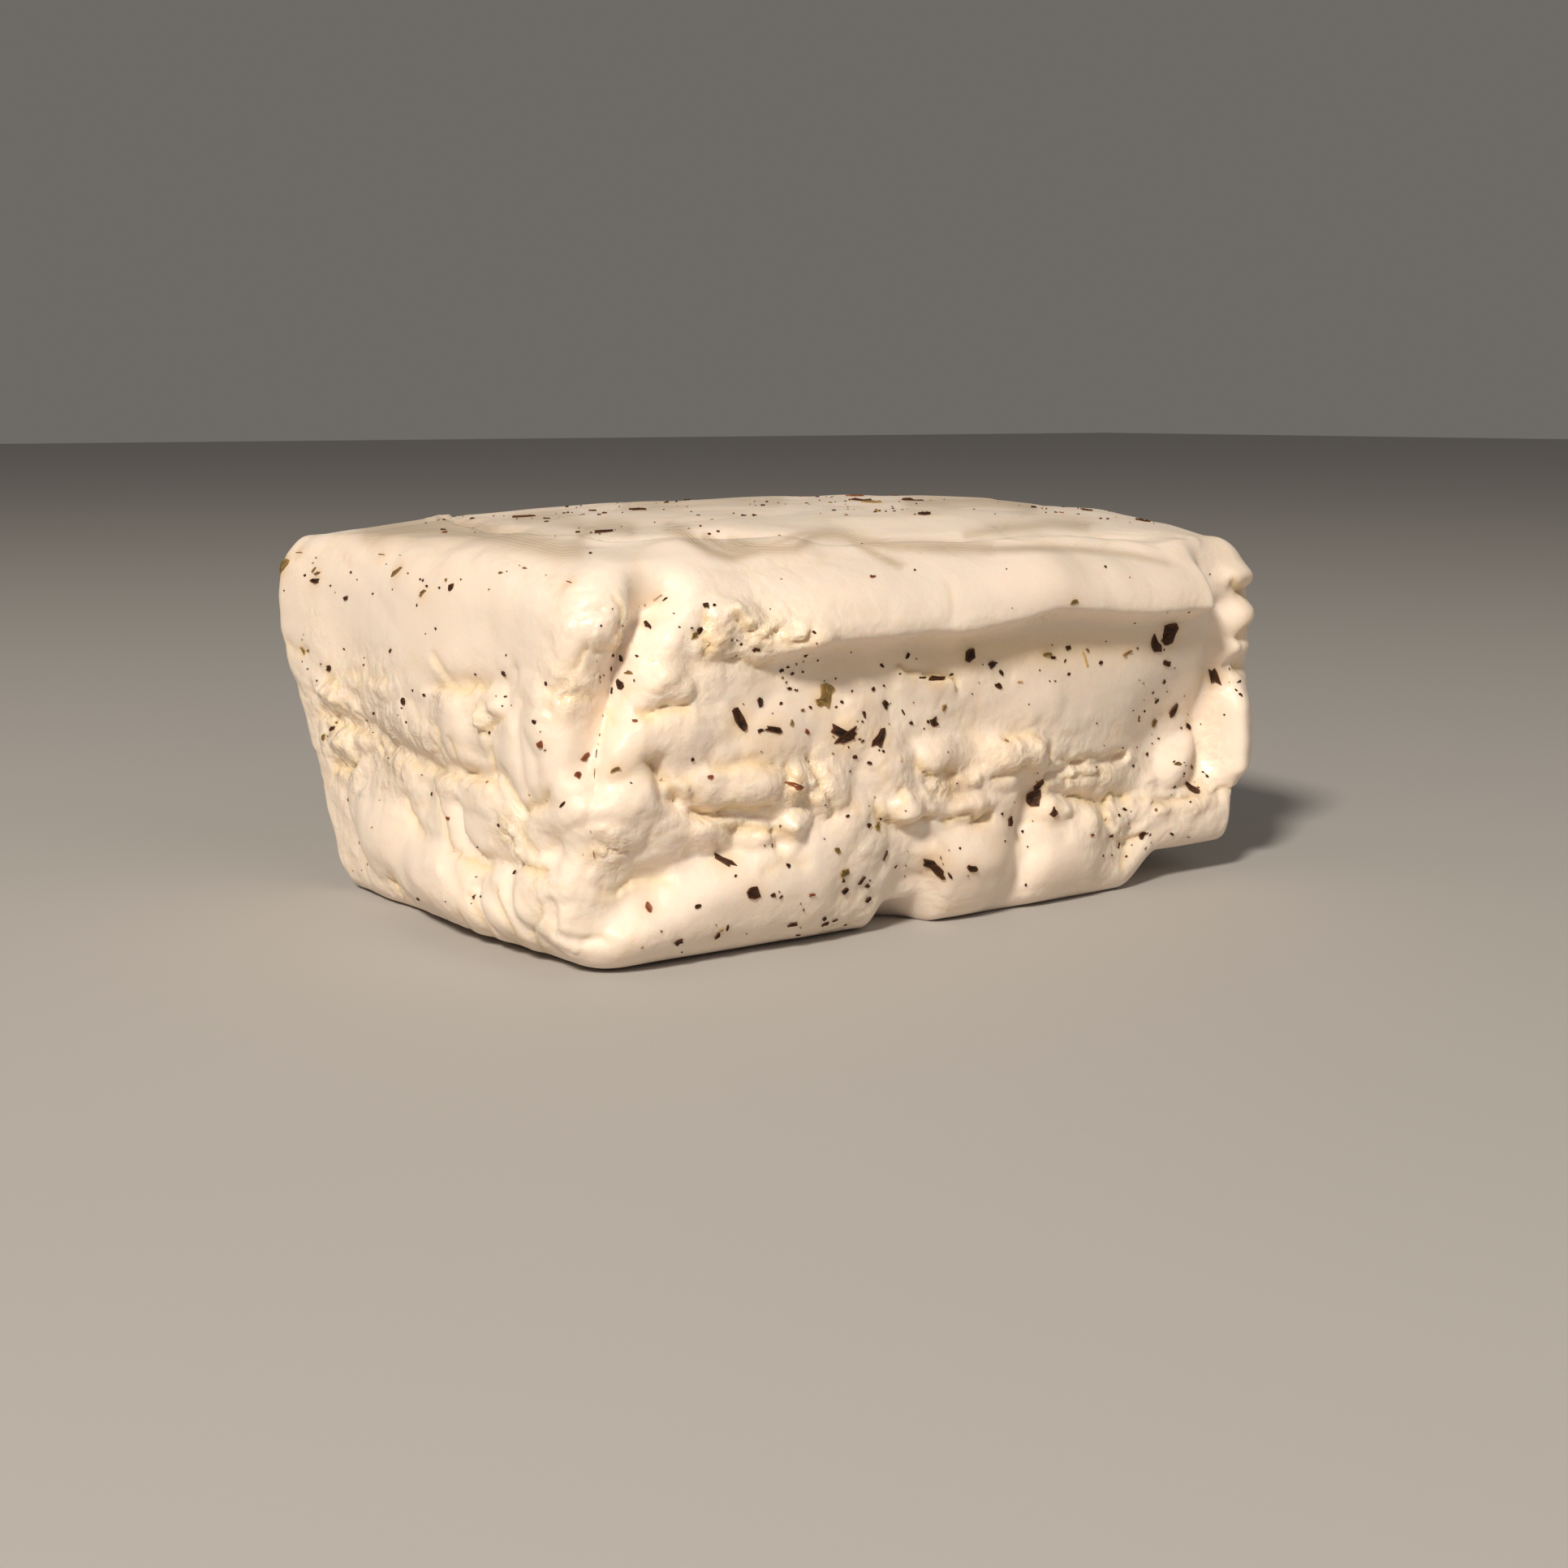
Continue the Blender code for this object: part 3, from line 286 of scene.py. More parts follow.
# creases: the bent line, depth, half width
frontCreases = [
    ([(-36.6, 37.5), (-39.4, 33.2), (-41.8, 29.2), (-43.8, 25), (-45.4, 20.5)], 3.9, 2.2),
    ([(-28.5, 12), (-31.5, 10.8), (-34.7, 9.1), (-39, 7.5), (-42.5, 6.2), (-46.5, 4.6)], 2, 2.4),
    ([(-37.5, 20.5), (-36.5, 17), (-33, 15.2), (-28, 14.3), (-24.8, 13.4), (-23.5, 11.5)], 1.3, 0.8),
    ([(12.5, 14), (18, 15.2), (24, 15), (27, 14.8)], 0.9, 0.6),
    ([(13, 12.2), (20, 10.8), (26.5, 10)], 0.6, 0.8), ([(10.6, 12), (8.6, 6.5), (5.8, 0)], 1.6, 1.9),
    ([(40.4, 31), (40.6, 24), (40, 16), (38.6, 9)], 1.5, 1.9), ([(44, 34.4), (49, 33.2)], 1.1, 1),
    ([(43, 25), (50, 25.2)], 1, 1.1),
]
leftCreases = [
    ([(5, 25.2), (10, 26.1), (14, 26.6), (18, 26.9), (19.8, 28.4)], 0.6, 1.2),
    ([(-17, 18.8), (-12, 19.2), (-7, 17.8), (-2, 18.1), (3, 17.4), (8, 17.5), (14, 17.8), (19, 17.9),
     (20.4, 15.2)], 0.6, 0.8),
    ([(-26, 19.8), (-19, 18.9), (-13, 19)], 0.7, 0.9),
    ([(8, 14), (9.6, 10.6), (14, 9), (20, 9.6)], 0.8, 0.7), ([(14, 6.5), (18, 1.5)], 1, 0.9),
    ([(19, 9), (21.5, 4.5), (26, 1.5)], 0.9, 0.9), ([(26.5, 7), (27, 4.2), (30, 3.2), (36, 3.4)], 0.8, 0.8),
]
topCreases = [
    ([(-27, 31), (-33.5, 9), (-37.5, -10), (-35, -18), (-28.5, -21), (-21.5, -22.5), (-14, -26),
     (0, -27.5), (14, -28), (28, -29), (37, -30)], 1.1, 1.6),
    ([(-8, -9), (8, -7), (24, -10)], 0.5, 2.6), ([(-22, 12), (-6, 20), (14, 19), (33, 24)], 0.5, 3),
]
# swells of the top beside its fold: across, back, half width, half height, height
topSwells = [
    (-31, -24, 4, 2.6, 0.9), (-18.5, -27.5, 3.5, 2, 0.8), (-24, -20.5, 3, 1.4, -0.9),
    (-9, -24.5, 4, 1.6, -0.6), (8, -18, 14, 5, 0.5), (-36, 6, 4, 14, -0.5),
]
# bands of painted shade on the top, as they show: the bent line across and up, half width, share
paintedShadeBands = [
    ([(-68.8, 43.6), (-65.5, 44), (-61.5, 44.1), (-57.2, 43.4), (-53, 42.5), (-49.6, 41.5),
     (-47.7, 41.6)], 1.2, 0.6),
    ([(-49.6, 41.7), (-47.7, 42.3), (-46.5, 43.4), (-44.7, 43.8), (-42.9, 43.6), (-41.8, 43.3)], 0.7, 0.5),
    ([(-53.9, 44.6), (-50.4, 44.8), (-48.3, 44.4), (-47, 43.6)], 0.8, 0.4),
    ([(-37.5, 43.3), (-36.1, 42.9), (-34.6, 41.9), (-32.7, 40.8), (-30.3, 40.2), (-27.4, 40.7)], 0.6, 0.65),
    ([(-33.4, 42.2), (-32.3, 41.7), (-30.3, 40.8), (-28.2, 41.2)], 0.5, 0.65),
    ([(-30.3, 41.6), (-27.4, 41), (-25.4, 40.8), (-22.4, 40.7), (-20.4, 41.7), (-18.8, 42.1),
     (-16.3, 41.8), (-13.6, 41), (-9.9, 40.5), (-3.3, 40.1), (3.5, 39.7)], 0.7, 0.6),
    ([(3.5, 39.7), (13, 39.3), (20.4, 38.8), (25.5, 38), (30.7, 36.7)], 0.45, 0.5),
    ([(-16.3, 41.8), (-14.2, 40.7), (-12, 39.6), (-9, 38.4)], 0.5, 0.6),
    ([(-26.9, 40.9), (-24.4, 41.4), (-21.9, 42), (-19.9, 42.2)], 0.4, 0.5),
    ([(0.1, 41.2), (5.8, 41.8), (11.8, 42.1), (17.9, 41.7)], 0.6, 0.45),
    ([(-7.7, 44.9), (-3.3, 44.9), (1.2, 44.9), (6.4, 44.5), (9.4, 44)], 0.8, 0.5),
    ([(-42.5, 45.6), (-37, 45.8), (-30.3, 45.8), (-24.4, 45.5)], 0.7, 0.4),
]
# dull filmy skin on the left face: across, up, half width, half height, share
leftFilm = [
    (-6, 20.5, 6, 2.4, 1), (4, 19.5, 5, 2.2, 1), (-5, 16, 4, 3, 0.9), (9, 17, 2.4, 2, 0.7),
    (-22, 29.5, 2, 4, 0.4),
]
# wet places: across, up, half width, half height, share
frontWet = [
    (39.3, 16, 1.4, 6, 1), (-1, 13, 2.6, 1.2, 1), (-24.5, 18, 3, 1.8, 0.8), (-21.5, 15.5, 2.6, 2.6, 0.8),
    (-33, 12, 4, 2, 0.7), (-29.5, 33.6, 4.5, 2.2, 0.8), (-1, 19.3, 2, 1.2, 0.8), (11.5, 32, 2, 1, 0.5),
    (37.6, 9.6, 1.6, 1.2, 0.8), (-46.5, 13, 3, 1.6, 0.9), (-44.5, 35, 3, 3.6, 0.8), (22, 14.6, 4, 1.4, 0.5),
]
leftWet = [
    (34.5, 32.5, 4.4, 5, 1), (-20.5, 22, 4.4, 1.8, 1), (-21, 16.8, 4.6, 1.6, 1), (22.5, 12.8, 2.4, 2.6, 1),
    (30, 9.2, 4, 1.6, 0.9), (8, 24.2, 3, 1.4, 0.8), (28.8, 27, 1.4, 1.4, 1), (-14, 12.6, 2.6, 1.2, 0.7),
    (13.4, 16.8, 2.4, 0.9, 0.7), (28, 4.6, 2.4, 1, 0.8), (-20, 14, 3.6, 1.2, 0.9),
]
# sharp thin seams where one fold ends on the next: the bent line, depth, half width, and how far one side of
# it is raised, the left above 0 and the right below 0
frontSeams = [
    ([(-41.5, 25.6), (-39.5, 25.4), (-37.5, 25.9), (-35.5, 25.6), (-34.6, 26.4)], 0.6, 0.35, -0.5),
    ([(-48, 26.6), (-45.5, 26), (-44, 24.6)], 0.5, 0.35, -0.4),
    ([(-33.2, 36), (-33, 34.2), (-33.5, 33), (-32, 31.5), (-33, 30.4)], 0.6, 0.35, 0.4),
    ([(-30.8, 34.9), (-29, 33.9), (-28, 32.9), (-26.4, 32.6)], 0.6, 0.3, 0.3),
    ([(-26.6, 31.6), (-24.4, 32.3), (-22.6, 30.9), (-20.6, 31.5), (-19.6, 33.1)], 0.6, 0.3, 0.4),
    ([(-31.5, 29.8), (-29, 30.1), (-26.5, 29.4), (-24, 29.9)], 0.5, 0.35, 0.4),
    ([(-41, 21.4), (-39, 20.5), (-37.5, 19), (-36.5, 17.8), (-36.2, 16.2)], 0.6, 0.35, -0.3),
    ([(-36, 19.8), (-34.6, 18.4), (-34.3, 17), (-33.2, 16.3)], 0.5, 0.3, -0.3),
    ([(-33.5, 20.2), (-30.5, 19.6), (-28, 19.9), (-25.5, 19.2), (-24, 19.6)], 0.5, 0.35, -0.5),
    ([(-35.5, 16.2), (-33, 15.3), (-30, 15.7), (-28, 15.2), (-26, 15.4), (-24.4, 14.6)], 0.6, 0.35, 0.6),
    ([(-33, 14.3), (-29, 13.3), (-25.6, 13.1), (-23.5, 12.4), (-22.6, 10.9)], 0.6, 0.35, 0.4),
    ([(-24.6, 18.8), (-23, 18.9), (-22.9, 17.6), (-23.6, 16.6)], 0.5, 0.3, 0.3),
    ([(-20.6, 20.6), (-19.6, 18.4), (-18.6, 16.4), (-17.6, 14.6), (-17.9, 12.6)], 0.5, 0.35, -0.3),
    ([(-12.4, 14.6), (-10.4, 12), (-7.6, 10.8), (-5.4, 11.4), (-3.4, 11.3)], 0.6, 0.35, 0.5),
    ([(-6.9, 18.6), (-6.5, 17), (-4.2, 16.2), (-2, 16.5), (0, 15.9)], 0.6, 0.35, 0.3),
    ([(-9.2, 15.6), (-9, 13.6), (-9.9, 12.3)], 0.4, 0.3, 0),
    ([(-10, 27.6), (-8.4, 27.9), (-6.6, 26.8), (-4.2, 26.4), (-2.4, 26.6), (-1.4, 25.7),
     (-0.9, 24.2)], 0.6, 0.35, -0.7),
    ([(3.6, 15.6), (6.5, 15.1), (9, 15.9), (11.2, 15.4)], 0.5, 0.35, 0.3),
    ([(4.5, 19.6), (7, 19), (9, 19.4), (11.2, 18.6), (12.3, 17.5), (12.7, 16.3),
     (13.3, 15)], 0.5, 0.35, -0.4),
    ([(13.5, 16.2), (16, 15.6), (18.5, 16), (22, 15.6), (25.5, 15.8)], 0.5, 0.3, -0.3),
    ([(14, 13.4), (16, 14.2), (19, 13.8), (22.4, 14.4)], 0.5, 0.3, 0.2),
    ([(13.6, 12), (17, 11.6), (20, 10.7), (22.2, 11.2), (24.5, 10.8), (26.2, 11.2)], 0.6, 0.35, -0.4),
    ([(20, 10.6), (20.3, 9), (21.8, 8)], 0.5, 0.3, 0.2),
    ([(25.6, 9.8), (28.2, 9), (31, 8.3), (34, 8.9)], 0.25, 0.4, 0.2),
    ([(38.3, 27), (38, 22), (37.2, 16), (36.6, 10.3)], 0.2, 0.4, 0),
    ([(38.2, 7.4), (41, 8.4), (44.5, 8.4), (48, 9.2)], 0.3, 0.4, 0.2),
    ([(28, 8), (31, 7.4), (35, 7.7), (38.4, 8.3)], 0.5, 0.35, -0.3),
    ([(22.8, 6.6), (24.2, 6), (26.2, 5.1), (28.6, 4.6)], 0.5, 0.35, 0.3),
    ([(23.2, 2.6), (24.6, 4.2), (24.9, 5.6)], 0.5, 0.35, 0),
    ([(41, 35.4), (42.6, 34.2), (44.6, 34.4), (48, 33.8)], 0.7, 0.4, 0.4),
    ([(42, 28), (44.2, 29.8), (46.6, 31.6)], 0.5, 0.5, 0.4),
    ([(41, 25.2), (43.4, 25), (45.6, 24.2), (49, 24.4)], 0.7, 0.45, 0.4),
    ([(-2, 35.6), (-1.4, 33.6), (-1.8, 31.6)], 0.12, 0.3, 0),
    ([(5, 11.6), (3, 10.8), (-1, 11.2), (-3.4, 11)], 0.6, 0.4, 0.3),
    ([(-44.6, 38.6), (-43.2, 36.6), (-43.8, 34.4), (-44.4, 32.2)], 0.4, 0.35, 0.2),
    ([(-47, 32.6), (-44.6, 32), (-42.6, 32.8)], 0.4, 0.35, 0.2),
    ([(-27, 8.6), (-24, 9.6), (-20, 9)], 0.25, 0.5, 0),
    ([(-48, 9.6), (-44, 9), (-40, 9.8), (-36, 8.9)], 0.4, 0.5, -0.4),
]
leftSeams = [
    ([(5, 25.2), (7.5, 25.5), (10, 26), (12, 25.8), (14, 26.4), (17, 26.5),
     (18.8, 27.7)], 0.5, 0.35, -0.25),
    ([(14.8, 24.9), (14.5, 23.5), (15.6, 22.2), (18, 22.6), (19.3, 23.8), (21.5, 24.2)], 0.5, 0.3, 0.3),
    ([(18, 21.5), (18.4, 19.5), (19.5, 17.5)], 0.5, 0.35, 0.2),
    ([(20.5, 19.2), (22.3, 17.8), (24.5, 16), (28, 17), (30, 19)], 0.5, 0.4, 0.3),
    ([(-27.5, 19.2), (-24, 20.1), (-20, 19.3), (-16, 18.9), (-12, 19.1), (-10, 18.4)], 0.5, 0.35, -0.3),
    ([(-10, 18.3), (-8, 17.4), (-5.5, 17.6), (-3.5, 18.2), (-1.8, 18)], 0.35, 0.35, -0.25),
    ([(-1.8, 18), (1, 17.4), (4, 17), (8, 17.4), (11, 17.2), (14, 17.6), (18.5, 17.6),
     (19.8, 16.3)], 0.5, 0.35, -0.3),
    ([(-25.6, 13.2), (-22, 14.5), (-19, 14.6), (-16, 15.3), (-13, 15.9)], 0.7, 0.4, -0.5),
    ([(-23, 23.7), (-19.5, 23.9), (-17.8, 23.3)], 0.6, 0.35, -0.3),
    ([(-17.5, 24.6), (-16, 25.5), (-14, 25.3), (-12.5, 23.9), (-13, 22.5)], 0.35, 0.35, -0.2),
    ([(-12, 26), (-9.5, 24.8), (-6.5, 25.4), (-5, 24)], 0.35, 0.4, -0.2),
    ([(4.5, 29), (7, 27.4), (9.5, 26.3)], 0.3, 0.35, -0.3),
    ([(5, 17), (6.5, 15.5), (7.6, 13), (10, 10.2), (13, 8.9), (17, 9), (20, 9.8)], 0.5, 0.35, 0.4),
    ([(-1.5, 14.5), (0, 12.5), (2, 11), (5, 10)], 0.4, 0.4, 0.3),
    ([(20.5, 14.2), (22.5, 12.4), (24, 11), (27, 10.3), (30, 10.7)], 0.7, 0.4, 0.5),
    ([(26.5, 8), (27.5, 6.5), (26.6, 4.5), (29, 3.2), (33, 3.4)], 0.5, 0.35, 0.3),
    ([(13.5, 6.3), (15.5, 4.5), (18.5, 2.4)], 0.5, 0.4, 0.3),
    ([(19.3, 8.8), (20.5, 5.5), (23, 3.4), (27, 2.1)], 0.5, 0.4, 0.3),
    ([(-7, 4.4), (-4.2, 4), (-2.6, 3), (-1.2, 1.4)], 0.9, 0.5, 0.6),
    ([(23, 15), (25.5, 12.8), (28, 12)], 0.4, 0.4, 0),
    ([(30.5, 27.2), (33, 27.9), (36, 27.3)], 0.5, 0.35, -0.3),
    ([(28.8, 25.4), (30, 28.3), (32.5, 29.5)], 0.4, 0.35, 0.2),
    ([(33, 30), (35, 32.2), (37, 33.6)], 0.4, 0.35, 0.2),
    ([(-31, 27.6), (-27, 26.8), (-24, 27.4)], 0.3, 0.4, 0),
    ([(9.6, 21.5), (11.6, 19.6), (12, 17.6)], 0.4, 0.4, 0.2),
    ([(6.2, 22.6), (6.9, 20.4), (6.4, 18.4)], 0.4, 0.4, -0.2),
    ([(-36.8, 33.4), (-34.6, 32.2), (-32.6, 30.2)], 0.5, 0.5, -0.3),
    ([(9.5, 4.4), (11.4, 2.6), (12.2, 1)], 0.4, 0.4, 0.2),
]

# broad swells and hollows: across, up, half width, half height, height
frontSwells = [
    (33, 15.6, 5.2, 4.8, -1.9), (16, 21, 6, 5, 0.5), (-25, 3, 18, 3.6, -0.8), (-42, 28, 7, 22, -1.2),
    (-41, 10, 5.5, 3.4, -1.6), (3, 11, 12, 6, 1), (-15, 15, 13, 8, 0.9), (38.2, 18, 9.5, 10, -2.9),
    (27, 9, 8, 5, -1.2), (-7, 1.5, 3.4, 2.5, -1.6), (20, 26, 16, 6, 0.5), (-43, 1.5, 8, 3, -1),
]
leftSwells = [
    (0, 27, 14, 8, 1.6), (6, 3, 12, 5, 1.6), (-28, 24, 8, 8, 0.8), (26.5, 12, 3.2, 1.8, -1.8),
    (-6, 2, 3, 2, -1.4), (27, 1.5, 9, 3, -1),
]
# where the surface breaks up into fine curd: across, up, half width, half height, share
frontCrumbs = [
    (-27, 32.5, 6, 2.6, 0.8), (-20.5, 16.6, 3.2, 3, 0.8), (8, 17, 5.5, 2.6, 0.45),
    (18, 13.5, 6.5, 2.2, 0.5), (22, 8, 5, 2.6, 0.3), (36, 7, 4, 2, 0.3), (-44, 12.8, 3, 2, 0.7),
    (-3, 15, 4, 2, 0.5), (-37, 27.5, 3.5, 2.5, 0.3), (-17, 1.8, 4, 1.5, 0.6), (41, 8, 3, 2, 0.2),
    (-30, 15, 6, 2, 0.35),
]
leftCrumbs = [
    (-20, 20.5, 7, 3, 0.7), (-19, 15.5, 6, 2, 0.7), (-10, 25, 7, 3, 0.3), (21.5, 13.5, 3, 2.2, 0.8),
    (16.5, 24, 3.5, 2, 0.5), (33, 28.5, 3.5, 2.5, 0.7), (-3, 3, 3, 1.6, 0.8), (-6, 18.5, 5, 1.6, 0.6),
]


def lumpHeight(across, up, table, share=1.0, power=0.75, merge=12):
    # a pillow is (1 - r squared) to a power, r being 1 at its rim; overlapping pillows run into each other as
    # the root of the sum of their powers, softly where merge is low
    total = np.zeros_like(across)
    for centre, middle, halfWidth, halfHeight, turn, rise in table:
        angle = math.radians(turn)
        side = (across - centre) * math.cos(angle) + (up - middle) * math.sin(angle)
        along = (up - middle) * math.cos(angle) - (across - centre) * math.sin(angle)
        inside = 1.0 - (side / halfWidth) ** 2 - (along / halfHeight) ** 2
        total += (rise * np.clip(inside, 0.0, 1.0) ** power) ** merge
    return share * total ** (1.0 / merge)


def lineDistance(across, up, points):
    # nearest distance to a line of straight pieces, above 0 to its left and below 0 to its right,
    # and the share of the way along it
    nearest = np.full_like(across, 1e6)
    signed = np.zeros_like(across)
    way = np.zeros_like(across)
    pieces = len(points) - 1
    for number, (start, end) in enumerate(zip(points[:-1], points[1:])):
        run = (end[0] - start[0], end[1] - start[1])
        share = ((across - start[0]) * run[0] + (up - start[1]) * run[1]) / (run[0] ** 2 + run[1] ** 2)
        share = np.clip(share, 0.0, 1.0)
        gapX = across - start[0] - share * run[0]
        gapY = up - start[1] - share * run[1]
        gap = np.hypot(gapX, gapY)
        closer = gap < nearest
        nearest = np.where(closer, gap, nearest)
        signed = np.where(closer, np.sign(run[0] * gapY - run[1] * gapX) * gap, signed)
        way = np.where(closer, (number + share) / pieces, way)
    return nearest, signed, way


def creaseDepth(across, up, table):
    # broad creases: minus a bell of the distance from the line
    depth = np.zeros_like(across)
    for points, deep, halfWidth in table:
        distance = lineDistance(across, up, points)[0]
        depth = np.maximum(depth, deep * np.exp(-((distance / halfWidth) ** 2)))
    return -depth


def lobeHeight(across, up, table):
    # low rolls of cheese along their spines: (1 - (distance / half width) squared) to the power 0.85, higher
    # where they are wider, and merged like the pillows
    total = np.zeros_like(across)
    for points, halfWidth, rise in table:
        near = (np.abs(across - points[0][0]) < 24.0) & (np.abs(up - points[0][1]) < 24.0)
        distance = lineDistance(across[near], up[near], points)[0]
        high = math.sqrt(rise) * halfWidth ** 0.75
        total[near] += (high * np.clip(1.0 - (distance / halfWidth) ** 2, 0.0, 1.0) ** 0.85) ** 5
    return total ** 0.2


def seamHeight(across, up, table):
    # a sharp valley, and one side raised next to it, both fading towards the line's ends
    height = np.zeros_like(across)
    hollow = np.zeros_like(across)
    for points, deep, halfWidth, step in table:
        distance, signed, way = lineDistance(across, up, points)
        fade = ease(0.0, 0.16, way) * ease(1.0, 0.84, way)
        fade = fade * ease(3.6, 2.2, distance)
        valley = np.exp(-distance / (halfWidth * 1.5))
        side = signed if step > 0 else -signed
        raised = ease(-0.12, 0.4, side) * np.exp(-np.clip(side, 0.0, 9.0) / 1.5)
        height += fade * (abs(step) * raised - deep * valley)
        # how deep in the valley, for painted shade in the crevice colour
        hollow = np.maximum(hollow, fade * valley * min(1.0, 1.6 * deep))
    return height, hollow


def swellHeight(across, up, table):
    # broad bells: the height times e to minus the squares of the distances in half widths and half heights
    height = np.zeros_like(across)
    for centre, middle, halfWidth, halfHeight, rise in table:
        height += rise * np.exp(-(((across - centre) / halfWidth) ** 2) - ((up - middle) / halfHeight) ** 2)
    return height


def lipHeight(across, up):
    # a rounded roll that ends sharply below and runs smoothly into the top above
    form = blockForm
    edge = form["lipHeight"] - 1.1 * ease(4.0, -12.0, across) - 0.35 * np.cos(across * 0.23)
    length = ease(form["lipLeft"], form["lipLeft"] + 14.0, across)
    length = length * ease(form["lipRight"] + 1.5, form["lipRight"] - 1.5, across)
    roll = ease(edge - 1.7, edge + 0.9, up) * ease(edge + 8.5, edge + 1.5, up)
    return form["lipReach"] * length * roll


def channelRidge(across, up):
    # the low upright ridge to the right of the panel, beside its channel
    upright = ease(8.0, 12.0, up) * ease(24.0, 19.0, up)
    return 1.2 * upright * np.exp(-(((across - 43.2) / 1.9) ** 2))


def scatteredLumps(width, height, count, seed):
    # lumps for a hidden face, placed at random
    draw = np.random.default_rng(seed)
    table = []
    for number in range(count):
        halfWidth = draw.uniform(3.0, 8.5)
        table.append((draw.uniform(-0.5, 0.5) * width, draw.uniform(3.0, height), halfWidth,
                      halfWidth * draw.uniform(0.4, 0.75), draw.uniform(-25, 25), draw.uniform(1.0, 2.6)))
    return table


def scatteredCreases(width, heights, seed):
    # creases that wander across a hidden face, one at each height
    draw = np.random.default_rng(seed)
    table = []
    for height in heights:
        steps = np.linspace(-0.42, 0.42, 8) * width
        points = [(step, height + draw.uniform(-2.2, 2.2)) for step in steps]
        table.append((points, draw.uniform(0.6, 1.0), draw.uniform(0.7, 1.2)))
    return table


def scatteredSeams(width, height, count, seed):
    # short thin seams that wander across a hidden face
    draw = np.random.default_rng(seed)
    table = []
    for number in range(count):
        start = np.array((draw.uniform(-0.46, 0.4) * width, draw.uniform(4.0, height)))
        heading = draw.uniform(-0.5, 0.5)
        points = [tuple(start)]
        for step in range(5):
            heading += draw.uniform(-0.6, 0.6)
            start = start + draw.uniform(1.6, 3.0) * np.array((math.cos(heading), math.sin(heading)))
            points.append(tuple(start))
        table.append((points, draw.uniform(0.4, 0.8), draw.uniform(0.3, 0.4), draw.uniform(-0.7, 0.7)))
    return table


backLumps = scatteredLumps(84.0, 33.0, 34, 48)
rightLumps = scatteredLumps(62.0, 33.0, 24, 49)
backCreases = scatteredCreases(90.0, (13.0, 22.0, 30.0), 50)
rightCreases = scatteredCreases(64.0, (12.0, 20.0, 29.0), 51)
hiddenSmooth = [(-20, 26, 14, 7, 0.9), (24, 15, 12, 6, 0.8), (2, 33, 40, 4, 0.8)]
rightCrumbs = [(10, 24, 8, 2.6, 0.8), (24, 13, 6, 3, 0.8), (-6, 9, 8, 2.4, 0.6)]
backCrumbs = [(-30, 14, 9, 3, 0.9), (6, 24, 8, 2.6, 0.8), (30, 27, 7, 2.4, 0.7), (-4, 8, 9, 2.4, 0.6)]
backSeams = scatteredSeams(88.0, 33.0, 26, 60)
rightSeams = scatteredSeams(62.0, 33.0, 18, 61)


# for each side: lumps, lobes, curds, creases, seams, swells, smooth stretches, crumbs
sideTables = {
    "front": (frontLumps, frontLobes, frontCurds, frontCreases, frontSeams, frontSwells, frontSmooth,
              frontCrumbs),
    "left": (leftLumps, leftLobes, leftCurds, leftCreases, leftSeams, leftSwells, leftSmooth, leftCrumbs),
    "back": (backLumps, [], [], backCreases, backSeams, [], hiddenSmooth, backCrumbs),
    "right": (rightLumps, [], [], rightCreases, rightSeams, [], hiddenSmooth, rightCrumbs),
}


def foldHeight(x, y, z, sizes, layer):
    # billows: the size of a bent ripple, so that smooth lumps meet in sharp valleys
    bendX = 2.4 * ripple(x, y, z, 9.0, layer + 1)
    bendZ = 1.8 * ripple(x, y, z, 9.0, layer + 2)
    wave = ripple((x + bendX) / sizes[0], (y + bendX) / sizes[0], (z + bendZ) / sizes[1], 1.0, layer)
    smooth = np.sqrt(wave ** 2 + 0.0016) - 0.04
    return np.clip(smooth * 1.7, 0.0, 1.0), np.exp(-np.abs(wave) / 0.045)


